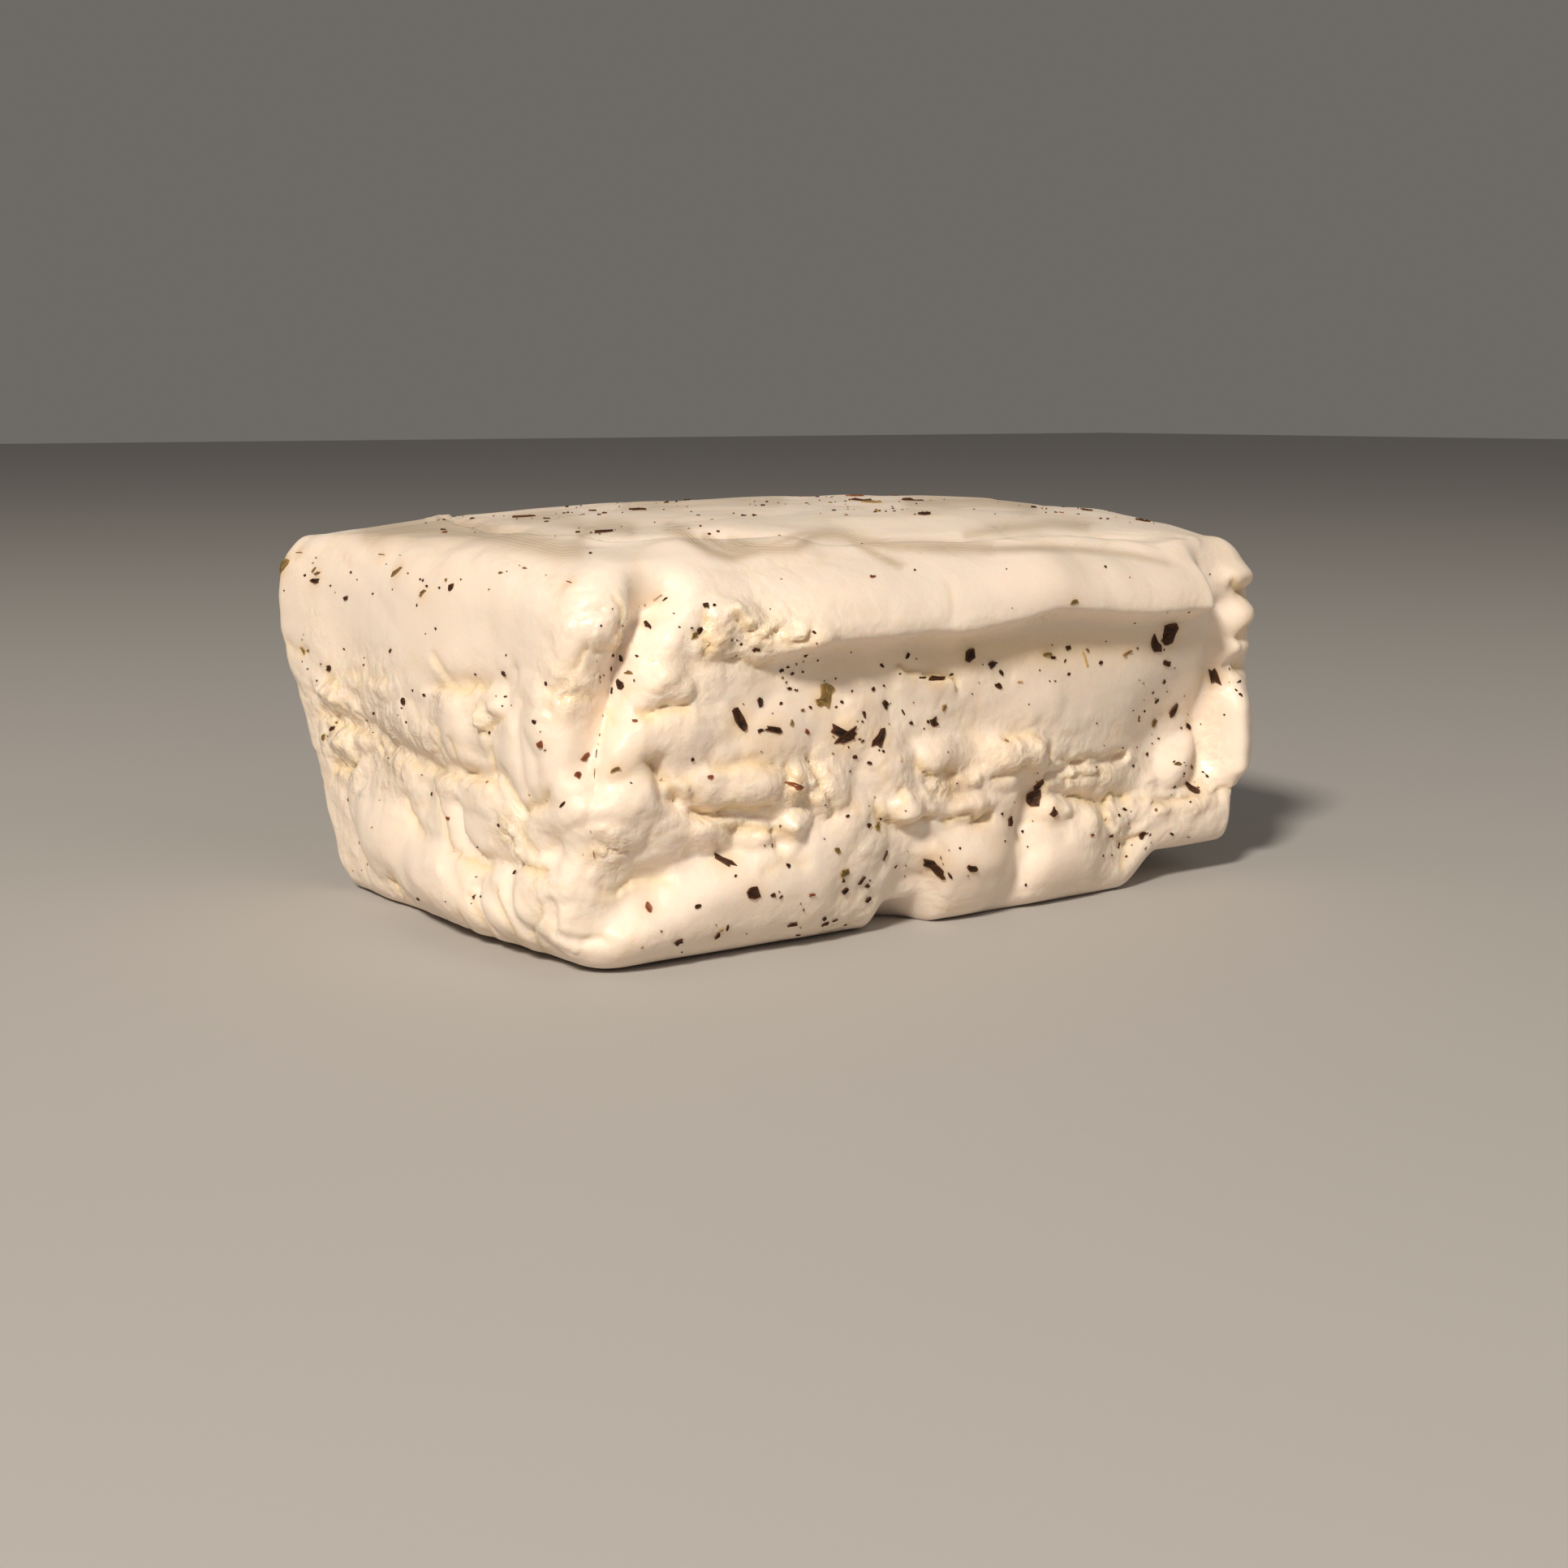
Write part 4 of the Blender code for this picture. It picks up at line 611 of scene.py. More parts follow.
def faceRelief(face, x, y, z, across, up, tables, limitTop):
    # one side face: rolls, lumps, creases, seams, curds, folds and chips; then how deep in a hollow, damp,
    # filmy and rough each place is
    form = blockForm
    lumps, lobes, curds, broad, seams, swells, smooth, crumbs = tables
    lumpRise = lumpHeight(across, up, lumps, form["lumpShare"], form["lumpPower"], 3) * limitTop
    large = creaseDepth(across, up, broad) + swellHeight(across, up, swells)
    if face == "front":
        large += lipHeight(across, up) + channelRidge(across, z)
    # the finer tables are read from where each place shows once the large forms have moved it
    moved = large + lumpRise
    seen = asRead(face, x - (face == "left") * moved, y - (face == "front") * moved, z)
    bendAcross = 0.5 * ripple(x, y, z, 2.8, 5) + 0.22 * ripple(x, y, z, 1.3, 6)
    bendUp = 0.4 * ripple(x, y, z, 2.6, 7) + 0.2 * ripple(x, y, z, 1.2, 9)
    bentAcross, bentUp = seen[0] + bendAcross, seen[1] + bendUp
    height = moved + form["lobeShare"] * lobeHeight(bentAcross, bentUp, lobes) * limitTop
    seamRise, hollow = seamHeight(seen[0] + 1.2 * bendAcross, seen[1] + 1.2 * bendUp, seams)
    height += form["seamShare"] * seamRise
    height += lumpHeight(bentAcross, bentUp, curds, form["curdShare"], 0.6)
    # calm is 0 in smooth stretches and 1 elsewhere, crumb is 1 where the surface breaks up
    crumb = np.clip(swellHeight(*seen, crumbs) * 1.2, 0.0, 1.0)
    calm = np.maximum(1.0 - 0.9 * np.clip(swellHeight(*seen, smooth) * 1.3, 0.0, 1.0), crumb)
    folds, valleys = foldHeight(x, y, z, form["foldSizes"], 3)
    height += form["foldRise"] * (0.25 + 0.75 * calm) * (folds - 0.45)
    coarse, inCoarse = chips(x + 0.8 * ripple(x, y, z, 3.0, 11), y, z + 0.6 * ripple(x, y, z, 2.5, 13),
                             *form["coarseChip"])
    height += form["chipRise"] * calm * (0.35 + 0.65 * crumb) * coarse
    fine, inFine = chips(x, y + 0.4 * ripple(x, y, z, 1.4, 15), z + 0.3 * ripple(x, y, z, 1.2, 16),
                         *form["fineChip"])
    height += form["chipRise"] * 0.55 * (0.08 * calm + 0.92 * crumb) * fine
    # the hollow mark paints darker yellow shade into fold valleys, seams and the gaps between chips, and
    # makes them damp
    hollow = np.maximum(hollow, 0.4 * calm * valleys)
    hollow = np.maximum(hollow, (0.1 * calm + 0.45 * crumb) * (1.0 - inCoarse))
    hollow = np.maximum(hollow, 0.6 * crumb * (1.0 - inFine))
    # below the lip the hollow mark also takes a swell of painted warm shade
    if face == "front":
        hollow = np.maximum(hollow, swellHeight(*seen, [form["underLipShade"]]))
    damp = swellHeight(*seen, {"front": frontWet, "left": leftWet}.get(face, []))
    film = swellHeight(*seen, leftFilm if face == "left" else [])
    rough = np.clip(0.22 * calm + 0.78 * crumb + 0.6 * film, 0.0, 1.0)
    return height, hollow, damp, film, rough


def relief(x, y, z, normal):
    # height of the whole relief above the plain slab, blended from face to face, and from 0 to 1 how much of
    # each mark of its look a place has
    bentX = x + 0.9 * wander(x, y, z, 6.0, 1)
    bentY = y + 0.9 * wander(x, y, z, 6.0, 2)
    bentZ = z + 0.63 * wander(x, y, z, 6.0, 3)
    shares = {
        "front": ease(0.25, 0.8, -normal[:, 1]), "back": ease(0.25, 0.8, normal[:, 1]),
        "left": ease(0.25, 0.8, -normal[:, 0]), "right": ease(0.25, 0.8, normal[:, 0]),
        "top": ease(0.45, 0.9, normal[:, 2]),
    }
    top = shares["top"]
    sideHeight = ease(39.5, 35.0, z)
    form = 0.35 * wander(x, y, z, 9.0, 5) * (1.0 - top)
    hollow, wet, shadeAndFilmGrey, rough = (np.zeros_like(x) for number in range(4))
    across = {"front": bentX, "left": -bentY, "back": -bentX, "right": bentY}
    for name, tables in sideTables.items():
        share = shares[name]
        near = share > 0.0
        limit = 1.0 if name == "left" else sideHeight[near]
        height, deep, damp, film, coarse = faceRelief(name, x[near], y[near], z[near], across[name][near],
                                                      bentZ[near], tables, limit)
        if name == "right":
            height *= ease(-34.0, -18.0, y[near])
        form[near] += share[near] * height
        hollow[near] = np.maximum(hollow[near], share[near] * deep)
        wet[near] = np.maximum(wet[near], share[near] * damp)
        # the left face's dull film has a grey tone of its own
        shadeAndFilmGrey[near] = np.maximum(shadeAndFilmGrey[near], 0.3 * share[near] * film)
        rough[near] = np.maximum(rough[near], share[near] * coarse)
    # the top: its creases, swells and long folds, a roll to the right of the first crease and fine lines
    # along it
    near = top > 0.0
    flatX, flatY = bentX[near], bentY[near]
    place = (x[near], y[near], z[near])
    topForm = creaseDepth(flatX, flatY, topCreases) * (0.7 + 0.6 * wander(*place, 9.0, 7))
    topForm += 0.35 * wander(*place, 14.0, 4) + swellHeight(flatX, flatY, topSwells)
    folds, valleys = foldHeight(place[0], place[1] * 1.7, place[2], (18.0, 9.0), 12)
    distance, signed = lineDistance(flatX, flatY, topCreases[0][0])[:2]
    beside = np.clip(signed + 1.4 * ripple(*place, 8.0, 14) * ease(0.0, 3.0, distance), -9.0, 9.0)
    lines = np.exp(-((beside / 2.2) ** 2)) * np.sin(beside * 7.5)
    topForm += 0.4 * (folds - 0.4) + 0.45 * np.exp(-(((signed + 1.5) / 1.1) ** 2)) + 0.09 * lines
    form[near] += top[near] * topForm
    # painted shade in the top's fold valleys, through the hollow mark
    hollow[near] = np.maximum(hollow[near], top[near] * 0.25 * valleys)
    form = form * (0.3 + 0.7 * ease(0.0, 7.0, z))
    return form, {"hollow": hollow * ease(0.0, 2.0, z), "wet": wet, "shadeAndFilmGrey": shadeAndFilmGrey, "rough": rough}


def topMarks(places, normal, marks):
    # the bands of painted shade on the top, and in each how far a place shows above the band's line
    seenAcross, seenUp = asRead("front", *places.T)
    seenUp = seenUp + 0.12 * ripple(*places.T, 5.0, 17)
    near = normal[:, 2] > 0.25
    strand = seenUp.copy()
    most = np.full(near.sum(), 0.02)
    for points, halfWidth, share in paintedShadeBands:
        gap, signed = lineDistance(seenAcross[near], seenUp[near], points)[:2]
        band = share * np.exp(-((gap / halfWidth) ** 2))
        strand[near] = np.where(band > most, signed, strand[near])
        most = np.maximum(most, band)
    marks["shadeAndFilmGrey"][near] = np.maximum(marks["shadeAndFilmGrey"][near], ease(0.25, 0.6, normal[near, 2]) * (most - 0.02))
    marks["strand"] = strand


def blend(values, rightShare, backShare):
    # between the values at the four corners: front left, front right, back left, back right
    front = values[0] + (values[1] - values[0]) * rightShare
    back = values[2] + (values[3] - values[2]) * rightShare
    return front + (back - front) * backShare


def slab(shareX, shareY, shareZ):
    # plain slab with rounded edges: every place on a cube's skin moves to its place on the slab
    form = blockForm
    x, y, z = (low + size * (share + 1.0) / 2.0
               for low, size, share in zip(slabLow, slabSize, (shareX, shareY, shareZ)))
    radius = blend(form["radii"], ease(-0.5, 0.5, shareX), ease(-0.5, 0.5, shareY))
    roll = np.where(shareZ > 0, form["topRoll"], form["bottomRoll"])
    coreX = np.clip(x, form["left"] + radius, form["right"] - radius)
    coreY = np.clip(y, form["front"] + radius, form["back"] - radius)
    coreZ = np.clip(z, form["bottomRoll"], form["height"] - form["topRoll"])
    normal = np.stack(((x - coreX) / radius, (y - coreY) / radius, (z - coreZ) / roll), axis=1)
    normal /= np.linalg.norm(normal, axis=1)[:, None]
    # the rounded edge is fuller where it meets the floor, most of all in the right half of the front
    flatwise = np.maximum(np.hypot(normal[:, 0], normal[:, 1]), 1e-6)
    power = form["foot"] - form["footFront"] * ease(-13.0, -5.0, x) * ease(0.0, -20.0, y)
    full = radius * np.where(normal[:, 2] < 0.0, flatwise ** (power - 1.0), 1.0)
    return coreX + normal[:, 0] * full, coreY + normal[:, 1] * full, coreZ + normal[:, 2] * roll, normal


def shapedBlock(shareX, shareY, shareZ):
    # the slab, its dome and slopes, its relief, the undercuts and the lifted edges, in that order
    form = blockForm
    x, y, z, normal = slab(shareX, shareY, shareZ)
    rise, marks = relief(x, y, z, normal)
    flat = normal[:, 2] < -0.999
    topHeight = blend(form["topHeights"], (x - form["left"]) / slabSize[0], (y - form["front"]) / slabSize[1])
    reachX, reachY = form["domeReach"]
    topHeight += form["dome"] * (1.0 - (x / reachX) ** 2) * (1.0 - ((y - form["domeY"]) / reachY) ** 2)
    topHeight -= form["frontDroop"] * ease(-14.0, -30.0, y)
    stretch = (topHeight - form["height"]) * ease(10.0, form["height"], z)
    outX = x + normal[:, 0] * rise
    outY = y + normal[:, 1] * rise
    outZ = z + stretch + normal[:, 2] * rise
    # the back left corner stands out above
    out = form["cornerOut"] * ease(14.0, 34.0, outZ) * ease(10.0, 35.0, outY) * ease(-18.0, -46.0, outX)
    outX = outX - 0.6 * out
    outY = outY + out
    # the back, the right end and the front right corner are drawn in below
    fall = np.clip(1.0 - outZ / 38.0, 0.0, 1.0) ** 1.7
    undercut = form["backUndercut"] * (0.62 + 0.38 * ease(10.0, -40.0, x))
    outY = outY - ease(-10.0, 30.0, outY) * undercut * fall * np.maximum(outY, 0.0)
    outX = outX - ease(5.0, 40.0, outX) * form["rightUndercut"] * fall ** 2 * np.maximum(outX, 0.0)
    tuck = form["frontRightTuck"] * ease(13.0, 4.0, outZ)
    outX = outX - tuck * ease(40.0, 47.0, outX) * ease(0.0, -20.0, y)
    # the lower edge is lifted at the right, and arched under the front
    edge = form["baseRight"] + 0.12 * (y - form["front"]) + 5.0 * wander(x, y, z * 0.0, 13.0, 6)
    lift = form["baseLift"] * ease(edge, edge + 9.0, outX)
    arch = np.hypot((outX - form["archX"]) / form["archWide"], (y - form["front"]) / form["archDeep"])
    lift += form["archRise"] * ease(1.0, 0.35, arch)
    outZ = outZ + lift * ease(16.0, 0.0, z)
    outZ = np.where(flat & (lift < 0.02), 0.0, np.maximum(outZ, 0.0))
    places = np.stack((outX + form["shift"][0], outY + form["shift"][1], outZ), axis=1)
    places = np.clip(places, cadLow, cadHigh)
    topMarks(places, normal, marks)
    return places, marks


# meshes

def newPiece(name, points, faces, material, smooth=True, attributes=None):
    # points in mm as one array, faces as one array of corner numbers or a list of such arrays
    groups = faces if isinstance(faces, list) else [faces]
    corners = np.concatenate([group.ravel() for group in groups]).astype(np.int32)
    sizes = np.concatenate([np.full(len(group), group.shape[1]) for group in groups]).astype(np.int32)
    mesh = bpy.data.meshes.new(name)
    mesh.vertices.add(len(points))
    mesh.vertices.foreach_set("co", (points * mm).astype(np.float32).ravel())
    mesh.loops.add(len(corners))
    mesh.loops.foreach_set("vertex_index", corners)
    mesh.polygons.add(len(sizes))
    mesh.polygons.foreach_set("loop_start", np.concatenate(([0], np.cumsum(sizes)[:-1])).astype(np.int32))
    mesh.polygons.foreach_set("loop_total", sizes)
    mesh.update(calc_edges=True)
    mesh.validate()
    mesh.polygons.foreach_set("use_smooth", np.full(len(sizes), smooth))
    for label, values in (attributes or {}).items():
        layer = mesh.attributes.new(label, "FLOAT", "POINT")
        layer.data.foreach_set("value", values.astype(np.float32))
    mesh.materials.append(material)
    piece = bpy.data.objects.new(name, mesh)
    bpy.context.scene.collection.objects.link(piece)
    return piece


def cubeSkin(counts):
    # six grids of even cells that close into a cube two units wide: the shared edge points are made one
    points, faces, first = [], [], 0
    for axis in range(3):
        one, two = (axis + 1) % 3, (axis + 2) % 3
        across, up = np.meshgrid(np.linspace(-1, 1, counts[one] + 1), np.linspace(-1, 1, counts[two] + 1),
                                 indexing="ij")
        index = np.arange(across.size).reshape(across.shape)
        quads = np.stack((index[:-1, :-1], index[1:, :-1], index[1:, 1:], index[:-1, 1:]), axis=-1)
        quads = quads.reshape(-1, 4)
        for side in (-1, 1):
            grid = np.empty((across.size, 3))
            grid[:, one], grid[:, two], grid[:, axis] = across.ravel(), up.ravel(), side
            points.append(grid)
            faces.append((quads if side > 0 else quads[:, ::-1]) + first)
            first += across.size
    points, faces = np.concatenate(points), np.concatenate(faces)
    keys = np.round(points * 1e6).astype(np.int64)
    keys = (keys[:, 0] * 4000001 + keys[:, 1]) * 4000001 + keys[:, 2]
    kept, index = np.unique(keys, return_index=True, return_inverse=True)[1:]
    return points[kept], index.reshape(-1)[faces]


# materials

def newMaterial(name):
    material = bpy.data.materials.new(name)
    material.use_nodes = True
    tree = material.node_tree
    return material, tree, tree.nodes["Principled BSDF"]


def plug(tree, socket, value):
    # a socket takes a plain value, or a link from another node's socket
    if isinstance(value, bpy.types.NodeSocket):
        tree.links.new(value, socket)
    else:
        socket.default_value = value


def addNode(tree, kind, inputs=None, **settings):
    # inputs: socket name or number to a plain value, or to another node's socket
    node = tree.nodes.new(kind)
    for label, value in settings.items():
        setattr(node, label, value)
    for label, value in (inputs or {}).items():
        plug(tree, node.inputs[label], value)
    return node


def mixColour(tree, share, low, high):
    # Mix node on colours: low at 0, high at 1
    node = addNode(tree, "ShaderNodeMix", data_type="RGBA")
    for number, value in ((0, share), (6, low), (7, high)):
        plug(tree, node.inputs[number], (*value, 1.0) if isinstance(value, tuple) else value)
    return node.outputs[2]


def calculate(tree, operation, first, second=0.0, third=0.0, clamp=False):
    node = addNode(tree, "ShaderNodeMath", operation=operation, use_clamp=clamp)
    for socket, value in zip(node.inputs, (first, second, third)):
        plug(tree, socket, value)
    return node.outputs[0]


def noise(tree, place, scale, detail, roughness=0.5):
    return addNode(tree, "ShaderNodeTexNoise",
                   {"Vector": place, "Scale": scale, "Detail": detail, "Roughness": roughness})


def attribute(tree, name):
    return addNode(tree, "ShaderNodeAttribute", attribute_name=name).outputs["Fac"]


def newGroup(name, inputs, outputs):
    # a node group of plain numbers, and its own two end nodes
    group = bpy.data.node_groups.new(name, "ShaderNodeTree")
    for label in inputs:
        group.interface.new_socket(label, in_out="INPUT", socket_type="NodeSocketFloat")
    for label in outputs:
        group.interface.new_socket(label, in_out="OUTPUT", socket_type="NodeSocketFloat")
    return group, addNode(group, "NodeGroupInput").outputs, addNode(group, "NodeGroupOutput").inputs


def groupNode(tree, group, values):
    node = addNode(tree, "ShaderNodeGroup", node_tree=group)
    for label, value in values.items():
        plug(tree, node.inputs[label], value)
    return node.outputs


def unevenToneGroup():
    # uneven tone from 0 to 1 in broad patches, and a finer one as it comes
    group, given, result = newGroup("unevenTone", ("size", "fineness"), ("tone", "fine"))
    place = addNode(group, "ShaderNodeTexCoord").outputs["Object"]
    broad = noise(group, place, given["size"], 3.0)
    spread = addNode(group, "ShaderNodeMapRange",
                     {"Value": broad.outputs[0], "From Min": 0.3, "From Max": 0.7})
    group.links.new(spread.outputs[0], result["tone"])
    group.links.new(noise(group, place, given["fineness"], 2.0).outputs[0], result["fine"])
    return group


def curdDetailGroup():
    # fine height in mm: grains and torn ridges where it is rough, and a faint pitted skin everywhere
    group, given, result = newGroup("curdDetail", ("rough",), ("height",))
    place = addNode(group, "ShaderNodeTexCoord").outputs["Object"]
    bend = noise(group, place, 420.0, 2.0)
    away = addNode(group, "ShaderNodeVectorMath", {0: bend.outputs["Color"], 1: (0.0016, 0.0016, 0.0016)},
                   operation="MULTIPLY")
    bent = addNode(group, "ShaderNodeVectorMath", {0: place, 1: away.outputs[0]}, operation="ADD").outputs[0]
    grains = addNode(group, "ShaderNodeTexVoronoi", {"Vector": bent, "Scale": 780.0, "Smoothness": 0.35},
                     feature="SMOOTH_F1")
    torn = noise(group, bent, 360.0, 5.0, 0.6)
    pits = noise(group, place, 1900.0, 3.0, 0.6)
    soft = noise(group, place, 210.0, 2.0)
    coarse = calculate(group, "MULTIPLY_ADD", grains.outputs["Distance"], -0.38, torn.outputs[0])
    coarse = calculate(group, "MULTIPLY", coarse, given["rough"])
    fine = calculate(group, "MULTIPLY_ADD", pits.outputs[0], 0.035, coarse)
    group.links.new(calculate(group, "MULTIPLY_ADD", soft.outputs[0], 0.16, fine), result["height"])
    return group


unevenTone = unevenToneGroup()
curdDetail = curdDetailGroup()


# colours and how much of each; scales per metre; wrinkleRate is the angle of the fine lines' wave per mm
cheeseLook = {
    "cream": (0.92, 0.785, 0.665), "deepCream": (0.89, 0.72, 0.58), "deepShare": 0.6,
    # crevice: darker yellow, painted shade in creases, hollows and below the lip
    "creviceShade": (0.83, 0.60, 0.27), "creviceShadeShare": 0.78, "stain": (0.76, 0.46, 0.17), "stainShare": 0.5,
    # grey: painted shade of the top's bands, and the own tone of the left face's dull film; wrinkle: painted
    # shade of thin lines along those bands
    "shadeAndFilmGrey": (0.56, 0.43, 0.29), "shadeAndFilmGreyShare": 1.3, "wrinkleShade": (0.30, 0.23, 0.18), "wrinkleShadeShare": 1.1,
    "wrinkleRate": 24.0, "wrinkleHeight": 0.04, "toneScale": 70.0, "fineScale": 1400.0,
    "roughness": 0.52, "dampPlaces": 1.6, "dampEverywhere": 0.03, "dampSmoothing": 0.7, "coatRoughness": 0.1,
    "glow": 0.35, "glowReach": 0.0013, "glowColour": (1.0, 0.55, 0.28),
}


def cheeseMaterial():
    look = cheeseLook
    material, tree, shader = newMaterial("cheese")
    tone = groupNode(tree, unevenTone, {"size": look["toneScale"], "fineness": look["fineScale"]})
    hollow, wet, shadeAndFilmGrey = attribute(tree, "hollow"), attribute(tree, "wet"), attribute(tree, "shadeAndFilmGrey")

    # cream, deeper in patches, painted darker yellow shade in hollows and brown beside the larger flakes
    share = calculate(tree, "MULTIPLY", tone["tone"], look["deepShare"])
    colour = mixColour(tree, share, look["cream"], look["deepCream"])
    for place, kind in ((hollow, "creviceShade"), (attribute(tree, "stain"), "stain")):
        share = calculate(tree, "MULTIPLY", place, look[kind + "Share"], clamp=True)
        colour = mixColour(tree, share, colour, look[kind])

    # painted shade in bands on the top, with thin lines of painted shade along them; the same grey gives the
    # left face's dull film its own tone
    bent = calculate(tree, "MULTIPLY_ADD", tone["tone"], 0.35, attribute(tree, "strand"))
    wave = calculate(tree, "SINE", calculate(tree, "MULTIPLY", bent, look["wrinkleRate"]))
    share = calculate(tree, "MULTIPLY", shadeAndFilmGrey, look["shadeAndFilmGreyShare"], clamp=True)
    colour = mixColour(tree, share, colour, look["shadeAndFilmGrey"])
    # thin darker lines of painted shade along the top's bands
    broken = calculate(tree, "MULTIPLY", calculate(tree, "MULTIPLY_ADD", wave, 0.5, 0.2), tone["tone"])
    dense = calculate(tree, "MULTIPLY", shadeAndFilmGrey, shadeAndFilmGrey)
    broken = calculate(tree, "MULTIPLY", broken, dense)
    share = calculate(tree, "MULTIPLY", broken, look["wrinkleShadeShare"], clamp=True)
    plug(tree, shader.inputs["Base Color"], mixColour(tree, share, colour, look["wrinkleShade"]))

    # damp places glisten in small points and are smoother
    sheen = calculate(tree, "MULTIPLY_ADD", tone["fine"], 0.3, look["roughness"] - 0.15)
    glint = addNode(tree, "ShaderNodeMapRange", {"Value": tone["fine"], "From Min": 0.44, "From Max": 0.56})
    damp = calculate(tree, "MULTIPLY_ADD", hollow, 0.35, wet)
    damp = calculate(tree, "MULTIPLY", damp, look["dampPlaces"])
    damp = calculate(tree, "MULTIPLY_ADD", damp, glint.outputs[0], look["dampEverywhere"], clamp=True)
    dry = calculate(tree, "MULTIPLY_ADD", damp, -look["dampSmoothing"], 1.0, clamp=True)

    detail = groupNode(tree, curdDetail, {"rough": attribute(tree, "rough")})["height"]
    lines = calculate(tree, "MULTIPLY", wave, calculate(tree, "MULTIPLY", dense, look["wrinkleHeight"]))
    height = calculate(tree, "ADD", detail, lines)
    bump = addNode(tree, "ShaderNodeBump", {"Height": height, "Strength": 1.0, "Distance": mm})
    for label, value in (("Roughness", calculate(tree, "MULTIPLY", sheen, dry)), ("Normal", bump.outputs[0]),
                         ("Coat Weight", damp), ("Coat Roughness", look["coatRoughness"]),
                         ("Subsurface Weight", look["glow"]), ("Subsurface Radius", look["glowColour"]),
                         ("Subsurface Scale", look["glowReach"])):
        plug(tree, shader.inputs[label], value)
    return material


def leafMaterial(name, dark, light, roughness):
    # dried leaf: two tones in patches, lighter at its edge, matt, with fine ribs
    material, tree, shader = newMaterial(name)
    tone = groupNode(tree, unevenTone, {"size": 900.0, "fineness": 3500.0})
    edge = calculate(tree, "MULTIPLY", calculate(tree, "POWER", attribute(tree, "edge"), 4.0), 0.8)
    share = calculate(tree, "MULTIPLY_ADD", tone["tone"], 0.7, edge, clamp=True)
    bump = addNode(tree, "ShaderNodeBump", {"Height": tone["fine"], "Strength": 0.6, "Distance": 0.1 * mm})
    for label, value in (("Base Color", mixColour(tree, share, dark, light)), ("Roughness", roughness),
                         ("Specular IOR Level", 0.3), ("Normal", bump.outputs[0])):
        plug(tree, shader.inputs[label], value)
    return material


cheese = cheeseMaterial()
print("stage: materials ready")


# places on the finished block

def sharesOf(face, across, up):
    # the place on the cube's skin that a place on a face comes from, before the relief moves it
    axis, sign, outAxis, outSign = faceAxes[face]
    upAxis = 1 if face == "top" else 2
    shares = np.zeros((len(across), 3))
    shares[:, outAxis] = outSign
    shares[:, axis] = (across * sign - slabLow[axis]) / slabSize[axis] * 2.0 - 1.0
    shares[:, upAxis] = (up - slabLow[upAxis]) / slabSize[upAxis] * 2.0 - 1.0
    return np.clip(shares, -1.0, 1.0)


def unit(directions):
    return directions / (np.linalg.norm(directions, axis=1)[:, None] + 1e-9)


def onFace(face, across, up):
    # the place on the cube's skin whose finished place is read at across and up: moved until it fits
    readAcross, readUp = across.copy(), up.copy()
    for step in range(5):
        places = shapedBlock(*sharesOf(face, across, up).T)[0]
        seen = asRead(face, *places.T)
        across = across + (readAcross - seen[0]) * 0.8
        up = up + (readUp - seen[1]) * 0.8
    return across, up


def surfaceAt(face, across, up):
    # place, outward direction and how far the face's two directions are stretched, from two small steps on
    # the cube's skin, which is two units wide
    axis, sign, outAxis = faceAxes[face][:3]
    upAxis = 1 if face == "top" else 2
    sideStep, upStep = 0.01, 0.02
    shares = sharesOf(face, across, up)
    shares = np.where(np.arange(3) == outAxis, shares, np.clip(shares, -0.999, 0.999))
    beside, above = shares.copy(), shares.copy()
    beside[:, axis] += sideStep * sign
    above[:, upAxis] += upStep
    places = shapedBlock(*np.concatenate((shares, beside, above)).T)[0]
    spot, beside, above = places.reshape(3, -1, 3)
    normal = unit(np.cross(beside - spot, above - spot))
    stretch = np.stack((np.linalg.norm(beside - spot, axis=1) / (sideStep / 2.0 * slabSize[axis]),
                        np.linalg.norm(above - spot, axis=1) / (upStep / 2.0 * slabSize[upAxis])), axis=1)
    return spot, normal, np.clip(stretch, 1.0, 3.0)


# mint flakes, by face: across, up, length, width, turn in degrees

def rowsOf(faces):
    # the same with the face's name first in each row
    return [(face, *row) for face, rows in faces.items() for row in rows]


